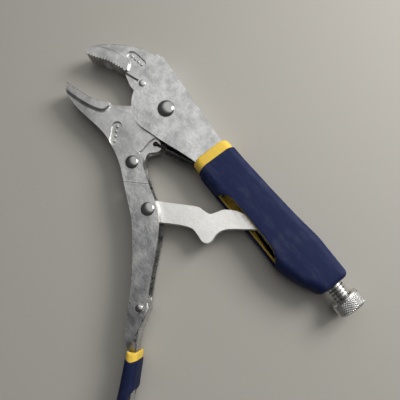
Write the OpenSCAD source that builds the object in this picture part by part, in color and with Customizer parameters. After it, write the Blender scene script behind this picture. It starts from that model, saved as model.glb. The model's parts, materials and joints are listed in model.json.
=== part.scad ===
// Curved-jaw locking pliers, lying flat with the handles open.
// The plan is drawn with the jaw pivot at its origin and the fixed handle along +X.
// place() then moves the plan so that the part stands on Z = 0, centred in X and Y.

/* [Overall] */
// Plan X of the centre of the whole outline, from the jaw pivot
centre_x = 48.2; // [40:0.1:60]
// Plan Y of the centre of the whole outline, from the jaw pivot
centre_y = -63.9; // [-80:0.1:-50]
// X of the rear end of the fixed handle's steel neck
neck_end_x = 152; // [145:1:165]

/* [Linkage] */
// X of the handle pivot from the jaw pivot
handle_pivot_x = 16; // [14:0.5:18]
// Y of the handle pivot from the jaw pivot
handle_pivot_y = -40; // [-42:0.5:-38]
// How far the movable handle is swung open
handle_open = 43.5; // [40:0.5:48]
// Toggle pivot along the movable handle
toggle_pivot_u = 30.5; // [29:0.5:32]
// Toggle pivot across the movable handle
toggle_pivot_v = 15.2; // [14:0.1:17]
// Lever pivot along the movable handle
lever_pivot_u = 92; // [88:0.5:94]
// Lever pivot across the movable handle
lever_pivot_v = 18.6; // [17:0.1:19]
// Length of the toggle link from its pivot to the centre of its nose
toggle_length = 89; // [86:0.5:92]
// Angle of the open toggle link from the fixed handle
toggle_open = 44.4; // [42:0.1:46]

/* [Sheet steel] */
// Outer half width of the fixed channel
channel_half = 7.5; // [7:0.1:7.9]
// Sheet thickness of the fixed channel
channel_wall = 2.5; // [2:0.1:2.6]
// Free gap between the lower jaw and each ear of the movable handle
ear_gap = 0.4; // [0.2:0.1:0.6]
// Sheet thickness of the movable handle
handle_wall = 2.2; // [1.6:0.1:2.4]
// Step outwards from the ears to the rest of the movable handle
joggle_step = 0.8; // [0.6:0.1:1.2]
// Step inwards from there to the tail inside the grip
tail_step = 0.8; // [0.6:0.1:1]
// Free gap between a plate and the sheet beside it
side_gap = 0.2; // [0.15:0.05:0.3]

/* [Jaws and link] */
// Half width of the toothed pads
pad_half = 6.6; // [6:0.1:7.2]
// Half thickness of the toggle link
link_half = 3.5; // [3:0.1:4]
// Radius of the toggle link's nose
nose_radius = 3; // [2.5:0.1:3.5]
// Half thickness of the lever's front arm
lever_half = 5.6; // [4.5:0.1:5.7]
// Thickness of the release lever's tail
lever_sheet = 1.5; // [1.2:0.1:1.8]
// Radius of the lower jaw's lug round the jaw pivot
lug_radius = 12.5; // [11:0.1:13]

/* [Rivets] */
// Shank radius of the jaw rivet
jaw_shank = 4; // [3:0.1:4.5]
// Head radius of the jaw rivet
jaw_head = 5.9; // [5.2:0.1:6.5]
// Shank radius of the handle and toggle rivets
link_shank = 3; // [2.5:0.1:3.4]
// Head radius of the handle and toggle rivets
link_head = 4.5; // [4.2:0.1:5]
// Shank radius of the lever rivet
lever_shank = 1.8; // [1.5:0.1:2]
// Head radius of the lever rivet
lever_head = 2.4; // [2.2:0.1:2.8]
// Outer radius of the washer under the lever rivet's head
washer_radius = 3.1; // [2.9:0.1:3.6]
// Thickness of that washer
washer_thick = 0.5; // [0.4:0.1:0.8]
// Shank radius of the stake that holds the upper jaw
stake_radius = 2.4; // [2:0.1:2.8]
// How far the stake's ends stand out
stake_proud = 0.8; // [0.4:0.1:1.2]
// Running clearance on the radius of every turning fit
run_fit = 0.05; // [0.02:0.01:0.08]

/* [Grips] */
// Thickness of the yellow inner layer, in plan
inner_skin = 1.5; // [1.2:0.1:2]
// Thickness of the blue outer layer, in plan
outer_skin = 2; // [1.6:0.1:2.4]
// Thickness of the inner layer over the flat sides
inner_side = 1.2; // [1:0.1:1.3]
// Thickness of the outer layer over the flat sides
outer_side = 1.3; // [1.1:0.1:2]
// Step from the blue layer down to the yellow collars
collar_step = 0.6; // [0.4:0.1:0.8]
// Front end of the fixed grip's yellow collar
grip_front_x = 42.5; // [40:0.5:45]
// Front end of the fixed grip's blue layer
grip_blue_x = 49.5; // [47:0.5:52]
// How far the fixed grip reaches past the steel neck
grip_overhang = 3; // [2:0.5:4]
// Thickness of the movable grip's inner layer under the steel tail
tail_skin = 0.7; // [0.6:0.1:1]
// Thickness of the movable grip's outer layer over the inner one
mgrip_skin = 0.9; // [0.7:0.1:1.2]
// Degrees that the release lever turns when pressed
lever_press = 3; // [2:0.5:3.5]
// Front end of the movable grip's yellow collar
mgrip_front_u = 117; // [115:0.5:119]
// Front end of the movable grip's blue layer
mgrip_blue_u = 122; // [121:0.5:124]
// Rear end of the movable grip
mgrip_rear_u = 172; // [166:0.5:176]

/* [Screw] */
// Steel under the adjusting screw at the neck's rear end
neck_floor = 2.8; // [2:0.1:3.6]
// Steel over the adjusting screw at the neck's rear end
neck_roof = 1.4; // [1.2:0.1:2]
// Length of the threaded stretch of the steel neck
thread_length = 16; // [12:1:20]
// Y of the adjusting screw's axis
screw_y = 12.4; // [12:0.1:12.8]
// Radius of the adjusting screw
screw_radius = 5.55; // [5:0.05:5.9]
// Radius of the screw's plain tip
tip_radius = 3; // [2.6:0.1:3.4]
// Length of the screw's plain tip
tip_length = 5; // [4:0.5:6]
// Gap left at rest between the toggle's nose and the screw's tip
nose_gap = 3.9; // [3.8:0.1:4.5]
// Radius of the knurled knob
knob_radius = 9.1; // [8:0.1:9.5]
// Length of the knob
knob_length = 9; // [7:0.5:11]
// Length of thread that shows between the grip and the knob
thread_show = 9; // [7:0.5:12]
// Depth of the screw's seat in the knob
knob_seat = 6; // [4:0.5:8]

/* [Spring] */
// Outer radius of the jaw spring
spring_radius = 3.2; // [2.6:0.1:3.4]
// Wire radius of the jaw spring
wire_radius = 0.6; // [0.5:0.05:0.8]

/* [Hidden] */
$fn = 64;
bore_span = 30;
half_thick = channel_half + inner_side + outer_side;
collar_half = half_thick - collar_step;
channel_in = channel_half - channel_wall;
jaw_half = channel_in - side_gap;
ear_in = jaw_half + ear_gap;
ear_half = ear_in + handle_wall;
handle_half = ear_half + joggle_step;
handle_in = handle_half - handle_wall;
tail_half = handle_half - tail_step;
tail_in = tail_half - handle_wall;
neck_low = screw_y - screw_radius - neck_floor;
neck_high = screw_y + screw_radius + neck_roof;
thread_front_x = neck_end_x - thread_length;
hub_half = handle_in - side_gap;
handle_pivot = [handle_pivot_x, handle_pivot_y];
steel = [0.72, 0.73, 0.74];
bright = [0.85, 0.85, 0.83];
yellow = [0.95, 0.8, 0.2];
blue = [0.13, 0.17, 0.36];
black = [0.08, 0.08, 0.09];

// ---- helpers -------------------------------------------------------------

// Point of a Catmull-Rom curve between b and c
function curve_at(a, b, c, d, t) =
  0.5 * (2 * b + (c - a) * t + (2 * a - 5 * b + 4 * c - d) * t * t + (3 * b - a - 3 * c + d) * t * t * t);

// Smooth open curve through the points p, with n steps between neighbours
function smooth(p, n = 4) = [
  for (i = [0 : len(p) - 2])
    for (k = [0 : n - 1])
      curve_at(p[max(i - 1, 0)], p[i], p[i + 1], p[min(i + 2, len(p) - 1)], k / n),
  p[len(p) - 1]
];

// Points of an arc about c from angle a0 to angle a1
function arc(c, r, a0, a1, n = 8) =
  [for (k = [0 : n]) c + r * [cos(a0 + (a1 - a0) * k / n), sin(a0 + (a1 - a0) * k / n)]];

// The list p in reverse order
function back(p) = [for (i = [len(p) - 1 : -1 : 0]) p[i]];

// The plan point v turned by angle a
function turned(v, a) = [v[0] * cos(a) - v[1] * sin(a), v[0] * sin(a) + v[1] * cos(a)];

toggle_pivot = handle_pivot + turned([toggle_pivot_u, toggle_pivot_v], -handle_open);
nose_point = toggle_pivot + turned([toggle_length, 0], toggle_open);

// Places along the adjusting screw's axis
tip_start = nose_point[0] + nose_radius + nose_gap;
screw_start = tip_start + tip_length;
knob_start = neck_end_x + grip_overhang + thread_show;

module place() {
  translate([-centre_x, -centre_y, half_thick]) children();
}

module in_handle() {
  translate(handle_pivot) rotate(-handle_open) children();
}

module in_toggle() {
  translate(toggle_pivot) rotate(toggle_open) children();
}

// A flat plate of half thickness h about the middle plane
module plate(h) {
  linear_extrude(2 * h, center = true) children();
}

// A round rivet head of radius r, from height z up by h, made as a low dome
module dome(r, z, h) {
  ball = (r * r + h * h) / (2 * h);
  translate([0, 0, z])
    rotate_extrude()
      intersection() {
        translate([0, h - ball]) circle(ball, $fn = 180);
        square([r, h]);
      }
}

// A rivet at the origin: shank between two domed heads that reach to z = top
module rivet(shank, head, seat, top) {
  cylinder(h = 2 * seat, r = shank, center = true);
  dome(head, seat, top - seat);
  mirror([0, 0, 1]) dome(head, seat, top - seat);
}

module bore(r) {
  cylinder(h = bore_span, r = r, center = true);
}

// ---- fixed handle --------------------------------------------------------

// The toggle slot in the underside, back to where the screw's thread starts
slot_front_x = 66;
slot_roof = -2.6;
slot_rear_x = screw_start;

// Stations of the steel under the fixed grip: X, lower Y, upper Y
fixed_tail = [
  [60, -7.2, 15.6], [75, -6.9, 16.3], [90, -5.8, 17], [110, -5.4, 18.2],
  [neck_end_x - 26, -5.4, neck_high + 0.4], [neck_end_x - 18, -3.8, neck_high + 0.4],
  [neck_end_x - 10, neck_low - 5, neck_high + 0.2], [neck_end_x, neck_low, neck_high]
];

// Outline of the covered tail grown by t, from station x0 on
function tail_outline(x0, t, x1) = concat(
  [[x0, fixed_tail[0][1] - t]], [for (s = fixed_tail) [s[0], s[1] - t]], [[x1, neck_low - t]],
  [[x1, neck_high + t]], back([for (s = fixed_tail) [s[0], s[2] + t]]), [[x0, 15.2 + t]]
);

channel_front = [[-37, 19.2], [-36.7, 12.7], [-34, 6.4], [-30, -1.7], [-25.5, -9.1]];
channel_low = [
  [-25.5, -9.1], [-22, -13.5], [-17, -17.4], [-11.6, -20.1], [-5.9, -21.2], [0.3, -20.5], [6.8, -18.4],
  [13.6, -16.6], [22.9, -13.4], [30.5, -10.7], [38.3, -8.2]
];
channel_top = [[39, 15.2], [27, 16.3], [15, 17.3], [2, 18.4], [-11.5, 19.8], [-24, 20.6], [-35, 21.1]];

module channel_plan() {
  polygon(concat(channel_front, smooth(channel_low, 3), tail_outline(42, 0, neck_end_x), channel_top));
}

// The hollow of the channel, open along its lower side and at its front
module channel_hollow_plan() {
  polygon([
    [-60, 18.6], [-24, 18.1], [2, 15.9], [27, 13.8], [60, 13.1], [90, 14.5],
    [nose_point[0], nose_point[1] + nose_radius + 0.6], [thread_front_x - 10, 16.5], [thread_front_x, 16.4],
    [thread_front_x, -30], [-60, -30]
  ]);
}

module fixed_handle_channel() {
  color(steel) place() difference() {
    plate(channel_half) channel_plan();
    plate(channel_in) channel_hollow_plan();
    // relief in both walls for the swinging toggle link
    plate(half_thick) translate([slot_front_x + 4, -40])
      square([slot_rear_x - slot_front_x - 6, 40 + slot_roof]);
    bore(jaw_shank);
    translate([-26, -1.8]) bore(stake_radius);
    on_screw_axis(tip_start) cylinder(h = neck_end_x, r = screw_radius + run_fit);
  }
  // lanced bridge that the spring hooks over
  color(steel) place() translate(spring_anchor) cylinder(h = 2 * channel_in + 1, r = 1.5, center = true);
}

module fixed_grip_inner() {
  front = grip_front_x;
  color(yellow) place() difference() {
    union() {
      plate(channel_half + inner_side)
        polygon(tail_outline(grip_blue_x, inner_skin, neck_end_x + grip_overhang - 1));
      plate(collar_half) polygon([
        [front + 2, -8.6], [grip_blue_x, -9.6], [grip_blue_x, 17.4], [front + 1, 17], [front - 0.5, 15.5]
      ]);
    }
    plate(channel_half) channel_plan();
    plate(channel_in) polygon([[front - 5, -4], [thread_front_x, -4], [thread_front_x, 12], [front - 5, 12]]);
    grip_slot();
    on_screw_axis(neck_end_x - 1) cylinder(h = 10, r = screw_radius + 1);
  }
}

module fixed_grip_outer() {
  rear = neck_end_x + grip_overhang;
  color(blue) place() difference() {
    plate(half_thick)
      polygon(tail_outline(grip_blue_x, inner_skin + outer_skin, rear));
    plate(channel_half + inner_side)
      polygon(tail_outline(grip_blue_x - 1, inner_skin, rear - 1));
    grip_slot();
    on_screw_axis(neck_end_x - 1) cylinder(h = 10, r = screw_radius + 1);
  }
}

// The opening in the underside of the fixed grip that the toggle link swings in.
// The upper lip is cut back further than the lower one.
module grip_slot() {
  low = -14;
  plate(channel_in) polygon([
    [grip_front_x - 5, low], [slot_rear_x, low], [slot_rear_x, slot_roof], [grip_front_x - 5, slot_roof]
  ]);
  linear_extrude(half_thick + 1) polygon([
    [slot_front_x, low], [slot_front_x + 4, -6], [slot_front_x + 8, slot_roof - 0.4],
    [slot_rear_x - 6, slot_roof - 0.4], [slot_rear_x, -6], [slot_rear_x + 3, low]
  ]);
}

module upper_jaw() {
  back_edge = smooth([
    [-76.5, -15], [-72.5, -7.2], [-66.9, -0.3], [-59.9, 6.5], [-52, 12.5], [-45, 16.4], [-37, 18.3]
  ]);
  tooth_edge = smooth([[-44, -6], [-49, -8], [-54.6, -10], [-60, -12.9], [-65, -16.2], [-71, -19.2]]);
  pad_edge = smooth([
    [-42.2, -3.8], [-46.2, 0.4], [-51.2, -0.1], [-57.5, -1.9], [-63.1, -4.3], [-69, -8.2], [-76.2, -15]
  ]);
  color(steel) place() difference() {
    union() {
      plate(jaw_half)
        polygon(concat(
          back_edge, [[-18, 17.2], [-15.5, 8], [-24.3, -6.6], [-28.6, -8.7], [-32.4, -9.1], [-38.2, -7.7]],
          tooth_edge, [[-75.4, -19.4]]
        ));
      plate(pad_half)
        polygon(concat([[-42.4, -5.4]], pad_edge, [[-75.4, -19.4]], back(tooth_edge)));
    }
    translate([-26, -1.8]) bore(stake_radius);
  }
}

module upper_jaw_stake() {
  color(steel) place() translate([-26, -1.8, 0]) {
    cylinder(h = 2 * channel_half, r = stake_radius, center = true);
    dome(stake_radius, channel_half, stake_proud);
    mirror([0, 0, 1]) dome(stake_radius, channel_half, stake_proud);
  }
}

module jaw_rivet() {
  color(bright) place() rivet(jaw_shank, jaw_head, channel_half, half_thick);
}

// ---- lower jaw -----------------------------------------------------------

module lower_jaw() {
  tooth_edge = smooth([[-62.8, -42.6], [-57, -40.9], [-51.2, -38.8], [-42.7, -35.8], [-35.5, -31.9], [-31.4, -28.2]]);
  pad_edge = smooth([[-28.4, -30.6], [-28.6, -34], [-32, -36.9], [-38.6, -40.2], [-47.1, -43.3], [-54.7, -45.3],
    [-60, -46.4]]);
  under = smooth([
    [-60, -46.4], [-54.9, -47.8], [-42.8, -47.7], [-31.7, -46.1], [-21.4, -44.3], [-12.2, -43.5],
    [-4.5, -44.4], [4, -45.6], [11, -47.6]
  ]);
  ear = arc(handle_pivot, 9, -100, 5);
  tab = [[20.5, -34], [16.2, -28.5], [19.3, -21.5], [18.5, -18.2], [13.5, -16.8], [9, -16.4]];
  color(steel) place() difference() {
    union() {
      plate(jaw_half) {
        polygon(concat(
          tooth_edge, [[-28.4, -27], [-19.1, -17], [-12, -4], [0, 5], [9, -4]], back(tab), back(ear), back(under)
        ));
        circle(lug_radius, $fn = 96);
      }
      plate(pad_half) polygon(concat(tooth_edge, pad_edge));
    }
    bore(jaw_shank + run_fit);
    translate(handle_pivot) bore(link_shank + run_fit);
    // hook notch for the spring
    plate(half_thick) {
      translate(spring_hook) circle(1.8);
      translate(spring_hook) rotate(24) translate([0, -1.1]) square([9, 2.4]);
    }
  }
}

spring_hook = [14.1, -20.2];
spring_anchor = [58, -0.2];

// The closed tension coil, as a tube between its two hooks
module jaw_spring() {
  way = spring_anchor - spring_hook;
  lead = 8;
  run = norm(way) - 2 * lead;
  color(black) place() translate([spring_hook[0], spring_hook[1], 0])
    rotate([0, 0, atan2(way[1], way[0])]) rotate([0, 90, 0]) {
      translate([0, 0, lead]) difference() {
        cylinder(h = run, r = spring_radius);
        translate([0, 0, -1]) cylinder(h = run + 2, r = spring_radius - 2 * wire_radius);
      }
      translate([0, spring_radius - wire_radius, 3.2]) cylinder(h = lead - 3.2, r = wire_radius);
      translate([0, spring_radius - wire_radius, lead + run]) cylinder(h = lead - 2.4, r = wire_radius);
    }
}

// ---- movable handle ------------------------------------------------------

handle_open_edge = [
  [3, 8.2], [8, 10.6], [16.4, 14.5], [22.8, 18.1], [29.1, 20.9], [34.8, 23], [43.1, 24.2], [52.6, 24.2],
  [59, 23.7], [75.7, 22.8], [92.6, 22.4], [99.9, 20.7], [107, 18.4], [113.9, 16.2], [117, 15.9], [120, 16.6]
];
handle_back_edge = [
  [4, -7.2], [12, -4.2], [24.2, 0.5], [37.3, 5.3], [50.3, 8], [65, 10.2], [81.9, 11.6], [94.3, 11.6],
  [106.5, 11.8], [111, 12.5], [114, 13.6], [117, 14.8], [120, 15.3]
];
// Stations of the steel inside the movable grip: along, lower, upper
handle_tail = [
  [120, 15.3, 16.9], [mgrip_rear_u - 37, 14.7, 17.6], [mgrip_rear_u - 22, 13.4, 17.8], [mgrip_rear_u - 3, 11.6, 16]
];
// Thickness of the tail's floor
tail_floor = 1.2;

module handle_plan() {
  polygon(concat(
    smooth(handle_back_edge, 2), [for (s = handle_tail) [s[0], s[1]]],
    back([for (s = handle_tail) [s[0], s[2]]]), back(smooth(handle_open_edge, 2)), [[-3, 4]]
  ));
  circle(7.6, $fn = 96);
}

// Half-planes of the handle's length: ears, main channel and covered tail
module handle_span(u0, u1) {
  intersection() {
    handle_plan();
    translate([u0, -20]) square([u1 - u0, 60]);
  }
}

module movable_handle_channel() {
  joggle = 14;
  tail_u = 114;
  color(steel) place() in_handle() difference() {
    union() {
      plate(ear_half) handle_span(-20, joggle);
      plate(handle_half) handle_span(joggle, tail_u);
      plate(tail_half) handle_span(tail_u, 220);
    }
    plate(ear_in) translate([-20, -20]) square([joggle + 20.5, 60]);
    plate(handle_in) handle_hollow(joggle + 0.5, tail_u - 2);
    plate(tail_in) handle_hollow(tail_u - 2.1, 220);
    bore(link_shank);
    translate([toggle_pivot_u, toggle_pivot_v]) bore(link_shank);
    translate([lever_pivot_u, lever_pivot_v]) bore(lever_shank);
  }
}

// The hollow above the handle's back, between u0 and u1
module handle_hollow(u0, u1) {
  intersection() {
    polygon(concat(
      [for (p = smooth(handle_back_edge, 2)) [p[0], p[1] + handle_wall]],
      [for (s = handle_tail) [s[0] + 4, s[1] + tail_floor]], [[220, 60], [-20, 60]]
    ));
    translate([u0, -20]) square([u1 - u0, 90]);
  }
}

module handle_rivet() {
  color(bright) place() translate(handle_pivot) rivet(link_shank, link_head, ear_half, ear_half + 2);
}

module toggle_rivet() {
  color(bright) place() translate(toggle_pivot) rivet(link_shank, link_head, handle_half, half_thick);
}

module lever_rivet() {
  seat = handle_half + washer_thick;
  color(bright) place() in_handle() translate([lever_pivot_u, lever_pivot_v])
    rivet(lever_shank, lever_head, seat, seat + 1);
}

module lever_rivet_washers() {
  color(bright) place() in_handle() translate([lever_pivot_u, lever_pivot_v])
    for (side = [0, 1]) mirror([0, 0, side]) translate([0, 0, handle_half]) difference() {
      cylinder(h = washer_thick, r = washer_radius);
      translate([0, 0, -1]) cylinder(h = washer_thick + 2, r = lever_shank);
    }
}

// Top of the lever's tail at station i of the handle's tail: clear of the floor when pressed
function over_floor(i) =
  handle_tail[i][1] + tail_floor + lever_sheet + (handle_tail[i][0] - lever_pivot_u) * sin(lever_press) + 0.3;

// Roof of the room inside the grip's closed band: along, across
band_rear_u = mgrip_rear_u - 33;
grip_roof = [[mgrip_front_u, 20.3], [126, 20.4], [mgrip_rear_u - 37, over_floor(1) + 0.3], [band_rear_u, over_floor(1) + 0.3]];

// Upper edge of the movable grip's inner layer: over the band, then down to the open lips
grip_lip = concat(
  [for (s = grip_roof) [s[0], s[1] + 0.6]],
  [[band_rear_u + 3, 18.6], [mgrip_rear_u - 14, 18.8], [mgrip_rear_u - 5, 18.2]]
);

// Sleeve outline of the movable grip from u0 to u1: t below the steel tail, up to the lip plus rise
function sleeve(u0, u1, t, rise) = concat(
  [[u0, 15.3 - t]], [for (s = handle_tail) [s[0], s[1] - t]], [[u1, 12 - t / 2], [u1, 17 + rise]],
  back([for (s = grip_lip) [max(s[0], u0), s[1] + rise]])
);

module movable_grip_inner() {
  color(yellow) place() in_handle() difference() {
    union() {
      plate(tail_half + inner_side) polygon(sleeve(mgrip_front_u + 1, mgrip_rear_u - 1, tail_skin, 0));
      plate(collar_half) polygon([
        [mgrip_front_u, 14.1], [mgrip_blue_u, 14.2], [mgrip_blue_u, 21.4], [mgrip_front_u, 21.3]
      ]);
    }
    movable_grip_room();
  }
}

module movable_grip_outer() {
  color(blue) place() in_handle() difference() {
    plate(half_thick) polygon(sleeve(mgrip_blue_u, mgrip_rear_u, tail_skin + mgrip_skin, mgrip_skin));
    plate(tail_half + inner_side) polygon(sleeve(mgrip_front_u + 1, mgrip_rear_u - 1, tail_skin, 0));
    movable_grip_room();
  }
}

// The room inside the sleeve for the steel tail and the lever, open behind the band
module movable_grip_room() {
  plate(tail_half) {
    handle_plan();
    polygon(concat(
      [[mgrip_front_u - 5, 14.8]], [for (s = handle_tail) [s[0], s[1]]],
      [[mgrip_rear_u - 3, 40], [band_rear_u, 40]], back(grip_roof), [[mgrip_front_u - 5, 20.3]]
    ));
  }
}

// ---- toggle link and release lever ----------------------------------------

module toggle_link() {
  top = smooth([
    [0, 7], [10, 6.6], [20, 6.6], [31, 6.4], [35, 4.6], [39.5, 2.8], [44, 4.6], [48, 6.6], [55, 7], [61.7, 5.4],
    [70, 3.6], [80, nose_radius], [toggle_length, nose_radius]
  ]);
  low = smooth([
    [toggle_length, -nose_radius], [80, -nose_radius], [70.9, -3.1], [60, -4.2], [52.3, -5.3], [48, -7.2],
    [45.2, -10.2], [43.2, -14], [40.6, -15.8], [37.5, -15.4], [34.7, -12.6], [31.5, -9.2], [28, -7.4], [20, -6.6],
    [10, -6.8], [0, -7]
  ]);
  color(bright) place() in_toggle() difference() {
    union() {
      plate(link_half) {
        polygon(concat(top, low));
        translate([toggle_length, 0]) circle(nose_radius);
      }
      plate(hub_half) circle(7, $fn = 96);
    }
    bore(link_shank + run_fit);
  }
}

module release_lever() {
  tail = smooth([
    [97, 22.2], [100, 21.8], [106, 20.3], [112, 19.8], [118, 20], [126, 20.1], [mgrip_rear_u - 37, over_floor(1)],
    [mgrip_rear_u - 22, over_floor(2) + 1.2], [mgrip_rear_u - 14, over_floor(3) + 3.6],
    [mgrip_rear_u - 6, over_floor(3) + 5.2]
  ]);
  arm = [[lever_pivot_u, 15.4], [84, 14.6], [76, 14.2], [73.5, 14.6], [73.5, 16], [78, 16.4], [84, 18.5]];
  color(steel) place() in_handle() difference() {
    union() {
      plate(lever_half)
        polygon(concat(arm, [[86, 21.8], [92, 24.2], [97, 22.2], [100, 21.8], [99, 19.6], [96, 17]]));
      plate(tail_in - side_gap) polygon(concat(tail, back([for (p = tail) p - [0.3, lever_sheet]])));
    }
    translate([lever_pivot_u, lever_pivot_v]) bore(lever_shank + run_fit);
  }
}

// ---- adjusting screw -------------------------------------------------------

module on_screw_axis(x) {
  translate([x, screw_y, 0]) rotate([0, 90, 0]) children();
}

module screw_tip() {
  color(steel) place() on_screw_axis(tip_start) cylinder(h = tip_length, r = tip_radius);
}

module adjusting_screw() {
  color(steel) place() on_screw_axis(screw_start) cylinder(h = knob_start + knob_seat - screw_start, r = screw_radius);
}

module screw_knob() {
  color(bright) place() on_screw_axis(knob_start) difference() {
    rotate_extrude() polygon([
      [0, 0], [knob_radius - 1, 0], [knob_radius, 1], [knob_radius, knob_length - 1],
      [knob_radius - 1, knob_length], [0, knob_length]
    ]);
    translate([0, 0, -1]) cylinder(h = knob_seat + 1, r = screw_radius);
  }
}

fixed_handle_channel();
upper_jaw();
upper_jaw_stake();
jaw_rivet();
fixed_grip_inner();
fixed_grip_outer();
lower_jaw();
jaw_spring();
movable_handle_channel();
handle_rivet();
toggle_rivet();
lever_rivet();
lever_rivet_washers();
movable_grip_inner();
movable_grip_outer();
toggle_link();
release_lever();
screw_tip();
adjusting_screw();
screw_knob();
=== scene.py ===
"""Visual model of curved-jaw locking pliers that lie open on a pale floor.

Outlines are drawn in millimetres in three flat frames: the plan of the fixed handle, whose origin
is the jaw pivot, the movable handle's own frame and the toggle link's own frame. Each frame is
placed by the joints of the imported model, and a piece is moved into the row frame, in metres, last.
"""
import json
import logging
import math
from collections.abc import Callable, Iterable, Sequence
from dataclasses import dataclass, field
from enum import Enum
from typing import Any

import bmesh
import bpy
from mathutils import Matrix, Vector


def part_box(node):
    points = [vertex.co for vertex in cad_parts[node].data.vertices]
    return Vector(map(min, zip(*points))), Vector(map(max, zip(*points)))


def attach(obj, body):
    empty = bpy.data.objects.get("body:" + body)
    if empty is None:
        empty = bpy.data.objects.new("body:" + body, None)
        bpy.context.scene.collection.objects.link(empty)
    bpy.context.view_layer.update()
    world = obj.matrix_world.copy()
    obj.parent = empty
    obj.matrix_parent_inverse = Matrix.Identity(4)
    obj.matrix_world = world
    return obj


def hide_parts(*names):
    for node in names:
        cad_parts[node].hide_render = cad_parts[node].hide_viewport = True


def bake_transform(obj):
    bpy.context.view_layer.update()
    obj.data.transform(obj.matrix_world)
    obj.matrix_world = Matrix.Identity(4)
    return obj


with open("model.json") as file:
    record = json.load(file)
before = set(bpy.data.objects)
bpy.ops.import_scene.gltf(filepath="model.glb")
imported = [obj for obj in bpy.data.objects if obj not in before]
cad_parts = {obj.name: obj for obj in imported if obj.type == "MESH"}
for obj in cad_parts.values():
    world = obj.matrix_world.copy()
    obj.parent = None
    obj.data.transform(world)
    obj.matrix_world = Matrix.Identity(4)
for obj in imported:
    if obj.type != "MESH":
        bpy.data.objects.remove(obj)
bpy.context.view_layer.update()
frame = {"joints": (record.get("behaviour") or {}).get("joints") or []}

LOG = logging.getLogger("pliers")
MM = 0.001

Point = tuple[float, float]
Colour = tuple[float, float, float, float]


class Body(Enum):
    """The moving groups of the pliers."""

    FIXED = "fixed_handle"
    JAW = "lower_jaw"
    HANDLE = "movable_handle"
    TOGGLE = "toggle"
    LEVER = "release_lever"
    SLIDE = "screw_slide"
    SCREW = "screw"


class Slot(Enum):
    """The finishes that the record names."""

    PLATED = "plated_steel"
    CAST = "cast_steel"
    RIVET = "rivet_steel"
    SCREW = "screw_steel"
    YELLOW = "yellow_rubber"
    BLUE = "blue_rubber"
    SPRING = "black_spring"


# ---- plane geometry ---------------------------------------------------------


def curve_at(a: Point, b: Point, c: Point, d: Point, t: float) -> Point:
    """Find a point of a Catmull-Rom curve.

    Args:
        a: Point before the stretch.
        b: Start of the stretch.
        c: End of the stretch.
        d: Point after the stretch.
        t: Share of the way from b to c.

    Returns:
        The point on the curve.
    """
    def blend(p: float, q: float, r: float, s: float) -> float:
        """Blend one coordinate of the four points."""
        square = (2 * p - 5 * q + 4 * r - s) * t * t
        cube = (3 * q - p - 3 * r + s) * t ** 3
        return 0.5 * (2 * q + (r - p) * t + square + cube)

    return blend(a[0], b[0], c[0], d[0]), blend(a[1], b[1], c[1], d[1])


def smooth(points: Sequence[Point], steps: int = 6) -> list[Point]:
    """Draw a smooth open curve through points.

    Args:
        points: The points that the curve passes through.
        steps: Pieces between neighbouring points.

    Returns:
        The points of the curve.
    """
    last = len(points) - 1
    curve = []
    for i in range(last):
        near = (points[max(i - 1, 0)], points[i], points[i + 1], points[min(i + 2, last)])
        curve += [curve_at(*near, k / steps) for k in range(steps)]
    return curve + [points[last]]


def arc(centre: Point, radius: float, start: float, end: float, steps: int = 12) -> list[Point]:
    """Draw an arc.

    Args:
        centre: Centre of the arc.
        radius: Radius of the arc.
        start: First angle, in degrees.
        end: Last angle, in degrees.
        steps: Pieces in the arc.

    Returns:
        The points of the arc.
    """
    turns = [math.radians(start + (end - start) * k / steps) for k in range(steps + 1)]
    return [(centre[0] + radius * math.cos(a), centre[1] + radius * math.sin(a)) for a in turns]


def stadium(start: Point, end: Point, radius: float) -> list[Point]:
    """Draw a slot with round ends.

    Args:
        start: Centre of the first end.
        end: Centre of the other end.
        radius: Radius of both ends.

    Returns:
        The outline of the slot.
    """
    heading = math.degrees(math.atan2(end[1] - start[1], end[0] - start[0]))
    return arc(end, radius, heading - 90, heading + 90) + arc(start, radius, heading + 90, heading + 270)


def offset(points: Sequence[Point], by: float) -> list[Point]:
    """Move an open curve sideways.

    Args:
        points: Points of the curve.
        by: Distance to its left; less than 0 moves it right.

    Returns:
        The moved points.
    """
    moved = []
    last = len(points) - 1
    for i, (x, y) in enumerate(points):
        (x0, y0), (x1, y1) = points[max(i - 1, 0)], points[min(i + 1, last)]
        length = math.hypot(x1 - x0, y1 - y0)
        moved.append((x - by * (y1 - y0) / length, y + by * (x1 - x0) / length))
    return moved


def evenly(points: Sequence[Point], spacing: float) -> list[Point]:
    """Space points evenly along a curve.

    Args:
        points: Points of the curve.
        spacing: Distance wanted between neighbours.

    Returns:
        The new points, from end to end.
    """
    lengths = [0.0]
    for (x0, y0), (x1, y1) in zip(points, points[1:]):
        lengths.append(lengths[-1] + math.hypot(x1 - x0, y1 - y0))
    count = max(round(lengths[-1] / spacing), 1)
    xs = list(zip(lengths, (p[0] for p in points)))
    ys = list(zip(lengths, (p[1] for p in points)))
    places = [lengths[-1] * k / count for k in range(count + 1)]
    return [(along(xs, d), along(ys, d)) for d in places]


def along(points: Sequence[Point], x: float) -> float:
    """Read a curve's height at x.

    Args:
        points: Points of the curve, with x rising.
        x: Where to read it.

    Returns:
        The height, held at its end values outside the curve.
    """
    if x <= points[0][0]:
        return points[0][1]
    for (x0, y0), (x1, y1) in zip(points, points[1:]):
        if x <= x1:
            return y0 + (y1 - y0) * (x - x0) / (x1 - x0)
    return points[-1][1]


def step(value: float, low: float, high: float) -> float:
    """Rise smoothly from 0 at low to 1 at high."""
    t = min(max((value - low) / (high - low), 0.0), 1.0)
    return t * t * (3 - 2 * t)


# ---- meshes -----------------------------------------------------------------


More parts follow.
